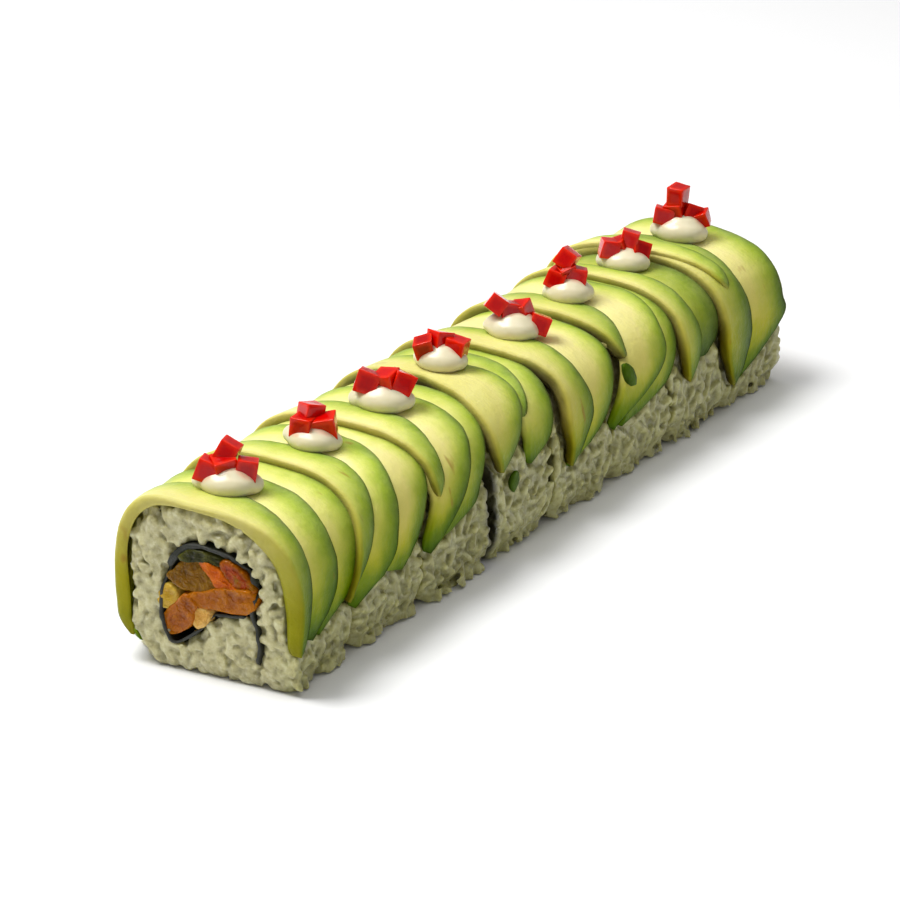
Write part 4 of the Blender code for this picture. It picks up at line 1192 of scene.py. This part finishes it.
# place along, place in Y, half length along, half width, height, then lobes (x, y, z, radius)
dollops = (
    {"at": (13.8, 0.2), "half": (5.8, 6.6), "high": 4.6,
     "lobes": ((2.0, -4.2, 0.5, 2.9), (-1.5, 4.2, 0.6, 3.0))},
    {"at": (41.2, -1.0), "half": (5.2, 5.8), "high": 4.0,
     "lobes": ((1.2, -3.4, 0.4, 2.8), (-1.0, 3.6, 1.2, 2.8))},
    {"at": (66.0, -1.2), "half": (5.6, 6.6), "high": 4.8,
     "lobes": ((1.6, -3.8, 0.8, 3.0), (-1.4, 4.4, 0.4, 3.0))},
    {"at": (89.6, 0.0), "half": (5.2, 6.0), "high": 4.4,
     "lobes": ((1.0, -3.0, 0.6, 3.0), (-0.8, 3.4, 0.8, 2.8))},
    {"at": (114.6, -2.0), "half": (5.4, 6.2), "high": 4.6,
     "lobes": ((1.4, -3.4, 0.5, 3.0), (-1.6, 3.6, 1.2, 2.6))},
    {"at": (139.8, -0.6), "half": (5.0, 5.8), "high": 4.6,
     "lobes": ((1.6, -2.8, 0.8, 3.0), (-1.0, 3.2, 0.4, 2.6))},
    {"at": (165.4, 0.4), "half": (5.2, 6.2), "high": 4.2,
     "lobes": ((1.2, -3.6, 0.4, 2.8), (-1.0, 3.6, 0.4, 2.8))},
    {"at": (188.3, -1.2), "half": (5.6, 6.6), "high": 5.0,
     "lobes": ((1.2, -3.8, 0.6, 3.0), (-1.2, 4.0, 0.8, 3.0))},
)
# for each dollop: offset along, in Y and above the cream's middle, size, and turn and tip in degrees
dice = (
    ((-2.6, 2.8, -0.6, 4.3, 20, 18), (-0.4, 0.2, 0.2, 4.4, 50, -12),
     (1.6, -3.6, -0.4, 4.6, 35, 10), (1.4, 0.6, 2.6, 4.2, 15, 24)),
    ((-1.6, 1.2, 0.2, 4.4, 10, 6), (1.0, -2.2, 0.0, 4.6, 30, -8),
     (1.2, 1.4, 2.2, 4.2, 60, 14)),
    ((-2.2, 2.4, 0.6, 4.6, 25, 20), (0.4, -0.8, 0.2, 4.6, 5, -10),
     (2.0, -3.6, 0.4, 4.4, 40, 26)),
    ((-2.4, 2.6, -0.2, 4.2, 30, -14), (0.6, 0.4, 0.8, 4.2, 65, 18),
     (1.6, -3.0, -0.4, 4.2, 15, 8)),
    ((-1.8, 2.8, 2.2, 4.2, 20, 35), (0.2, 0.6, 0.4, 4.2, 45, 12),
     (2.0, -1.2, 0.2, 4.2, 10, -16), (3.0, -5.2, -2.4, 4.2, 35, 20)),
    ((-1.4, 2.0, -0.2, 4.2, 15, 18), (0.2, 0.2, 1.4, 4.2, 50, -20),
     (1.2, -1.6, 0.4, 4.2, 30, 12), (1.0, 0.8, 4.2, 4.0, 10, 30)),
    ((-2.2, 2.2, 0.2, 4.2, 40, 12), (-0.2, 0.6, 0.4, 4.0, 5, -22),
     (1.4, -1.0, 2.0, 4.0, 25, 15), (2.0, -2.8, -0.4, 4.0, 60, 25)),
    ((-2.4, 3.0, 0.2, 4.2, 30, 14), (-0.4, 1.0, 1.6, 4.0, 10, -10),
     (0.2, 0.6, 5.0, 4.4, 5, 6), (2.0, -1.8, 0.6, 4.0, 50, 25), (2.8, -4.2, -0.6, 4.0, 20, -15)),
)


def makeDollop(number, form):
    x0, y0 = form["at"]
    halfX, halfY = form["half"]
    spots = [(x0 + halfX * math.cos(a) * r, y0 + halfY * math.sin(a) * r)
             for r in (0, 0.5, 0.8) for a in np.linspace(0, 6.28, 9)]
    base = float(np.mean([surfaceAt(*spot) for spot in spots]))
    high = form["high"] + 1.4
    shape = bmesh.new()
    # a broad blob, a smaller one on it and the lobes, all pressed flat
    balls = [(0, 0, high * 0.36, halfX, halfY, high * 0.56),
             (0.3, -0.2, high * 0.56, halfX * 0.78, halfY * 0.78, high * 0.46)]
    balls += [(x, y, z + 1.0, r, r, r * 0.72) for x, y, z, r in form["lobes"]]
    for x, y, z, rx, ry, rz in balls:
        made = bmesh.ops.create_icosphere(shape, subdivisions=3, radius=1.0)["verts"]
        bmesh.ops.scale(shape, vec=(rx * mm, ry * mm, rz * mm), verts=made)
        spot = Vector(((x0 + x) * mm, (y0 + y) * mm, (base + z) * mm)) + place
        bmesh.ops.translate(shape, vec=spot, verts=made)
    mesh = bpy.data.meshes.new("creamCage")
    shape.to_mesh(mesh)
    shape.free()
    cage = bpy.data.objects.new("creamCage", mesh)
    bpy.context.scene.collection.objects.link(cage)
    fuse = cage.modifiers.new("fuse", "REMESH")
    fuse.mode, fuse.voxel_size = "VOXEL", 0.00036
    soften = cage.modifiers.new("soften", "SMOOTH")
    soften.factor, soften.iterations = 0.5, 14
    bpy.context.view_layer.update()
    evaluated = cage.evaluated_get(bpy.context.evaluated_depsgraph_get())
    done = bpy.data.meshes.new_from_object(evaluated)
    bpy.data.objects.remove(cage)
    points = np.array([v.co for v in done.vertices]) / mm - np.array(place) / mm
    faces = [tuple(p.vertices) for p in done.polygons]
    bpy.data.meshes.remove(done)
    wave = waves(700 + number, 4, 7.0)
    rise = np.clip((points[:, 2] - base) / high, 0, 1)
    points[:, 2] += 0.10 * wave(points[:, 0] * 1.5 + points[:, 1]) * rise
    # the underside follows the slices that it lies on
    for point in points:
        floor = surfaceAt(point[0], point[1]) - 0.12
        if point[2] < floor:
            point[2] = floor
    blush = np.zeros(len(points))
    top = base + high - 0.9
    for x, y, z, size, _, _ in dice[number - 1]:
        centre = np.array([x0 + x, y0 + y, top + z])
        gap = np.linalg.norm(points - centre, axis=1) - size * 0.62
        blush = np.maximum(blush, np.clip(1 - gap / 0.9, 0, 1) ** 2 * 0.55)
    addPiece(f"creamDollop{number}", points, faces, creamLook, [f"cream_dollop_{number}"],
             {"blush": blush})
    return x0, y0, top


# the heap of dice on one dollop, each a slightly uneven cut block
def makeDice(number, seat, rows):
    own = random.Random(60 + number)
    shape = bmesh.new()
    tones, edges = [], []
    for x, y, z, size, turn, tip in rows:
        block = bmesh.new()
        bmesh.ops.create_cube(block, size=1.0)
        for vertex in block.verts:
            vertex.co += Vector([own.uniform(-0.06, 0.06) for _ in range(3)])
        bmesh.ops.bevel(block, geom=block.edges[:] + block.verts[:], offset=0.05, segments=3,
                        profile=0.6, affect="EDGES")
        bmesh.ops.subdivide_edges(block, edges=[e for e in block.edges if e.calc_length() > 0.5], cuts=3,
                                  use_grid_fill=True)
        for vertex in block.verts:
            # painted highlight: how near a point lies to an edge of the block
            reaches = sorted(abs(v) for v in vertex.co)
            edges.append(max(0.0, min(1.0, (reaches[1] - 0.36) / 0.08)))
            vertex.co += vertex.co.normalized() * own.uniform(-0.006, 0.006)
        stretch = Matrix.Diagonal((own.uniform(0.9, 1.1), own.uniform(0.92, 1.12),
                                   own.uniform(0.9, 1.05), 1))
        where = Vector(((seat[0] + x) * mm, (seat[1] + y) * mm, (seat[2] + z) * mm)) + place
        move = (Matrix.Translation(where) @ Matrix.Rotation(math.radians(turn), 4, "Z")
                @ Matrix.Rotation(math.radians(tip), 4, "X")
                @ Matrix.Rotation(math.radians(tip * 0.6), 4, "Y")
                @ Matrix.Scale(size * mm, 4) @ stretch)
        block.transform(move)
        made = bpy.data.meshes.new("block")
        block.to_mesh(made)
        tones += [own.random()] * len(made.vertices)
        shape.from_mesh(made)
        block.free()
        bpy.data.meshes.remove(made)
    mesh = bpy.data.meshes.new("dice")
    shape.to_mesh(mesh)
    shape.free()
    points = (np.array([v.co for v in mesh.vertices]) - np.array(place)) / mm
    faces = [tuple(p.vertices) for p in mesh.polygons]
    bpy.data.meshes.remove(mesh)
    addPiece(f"redDice{number}", points, faces, diceLook, [f"red_dice_{number}"],
             {"tone": tones, "edge": edges})


for dollopNumber, dollopForm in enumerate(dollops, 1):
    diceSeat = makeDollop(dollopNumber, dollopForm)
    makeDice(dollopNumber, diceSeat, dice[dollopNumber - 1])
print("cream and dice placed")


def makeFloor():
    mesh = bpy.data.meshes.new("floor")
    half = 3.0                                             # metres
    corners = [(-half, -half, 0), (half, -half, 0), (half, half, 0), (-half, half, 0)]
    mesh.from_pydata(corners, [], [(0, 1, 2, 3)])
    s = Shader("palePaper")
    mesh.materials.append(s.finish(Base_Color=(0.9, 0.9, 0.9, 1.0), Roughness=0.9, Specular_IOR_Level=0.1))
    floor = bpy.data.objects.new("floor", mesh)
    bpy.context.scene.collection.objects.link(floor)


# in metres and watts; the world's own light fills the shadows
lights = {
    "key": {"at": (-0.24, 0.36, 0.86), "size": 0.45, "watts": 9.5},
    "top": {"at": (0.10, 0.05, 0.95), "size": 0.9, "watts": 3.5},
    "fill": {"at": (-0.75, -0.55, 0.40), "size": 0.8, "watts": 0.6},
}
worldStrength = 0.22


def makeLights():
    for name, form in lights.items():
        lamp = bpy.data.lights.new(name, "AREA")
        lamp.shape = "SQUARE"
        lamp.size = form["size"]
        lamp.energy = form["watts"]
        thing = bpy.data.objects.new(name, lamp)
        thing.location = form["at"]
        aim = Vector((0, 0, 0.02)) - Vector(form["at"])
        thing.rotation_euler = aim.to_track_quat("-Z", "Y").to_euler()
        bpy.context.scene.collection.objects.link(thing)
    world = bpy.data.worlds.new("studio")
    world.use_nodes = True
    glow = world.node_tree.nodes["Background"]
    glow.inputs["Color"].default_value = (1.0, 1.0, 1.0, 1.0)
    glow.inputs["Strength"].default_value = worldStrength
    bpy.context.scene.world = world


# degrees, metres and mm
camera = {"azimuth": -56.43, "elevation": 23.17, "distance": 0.80611, "lens": 147.29,
          "target": (100.0, 0.0, 20.0), "shift": (-0.01942, -0.03423)}


def makeCamera():
    a, e = math.radians(camera["azimuth"]), math.radians(camera["elevation"])
    back = Vector((math.sin(a) * math.cos(e), -math.cos(a) * math.cos(e), math.sin(e)))
    target = Vector(camera["target"]) * mm + place
    lens = bpy.data.cameras.new("camera")
    lens.lens, lens.sensor_width = camera["lens"], 36.0
    lens.shift_x, lens.shift_y = camera["shift"]
    lens.clip_start, lens.clip_end = 0.05, 20.0
    thing = bpy.data.objects.new("camera", lens)
    thing.location = target + back * camera["distance"]
    thing.rotation_euler = (-back).to_track_quat("-Z", "Y").to_euler()
    bpy.context.scene.collection.objects.link(thing)
    bpy.context.scene.camera = thing


makeFloor()
makeLights()
makeCamera()
bpy.context.scene.view_settings.view_transform = "Standard"
print("studio ready")
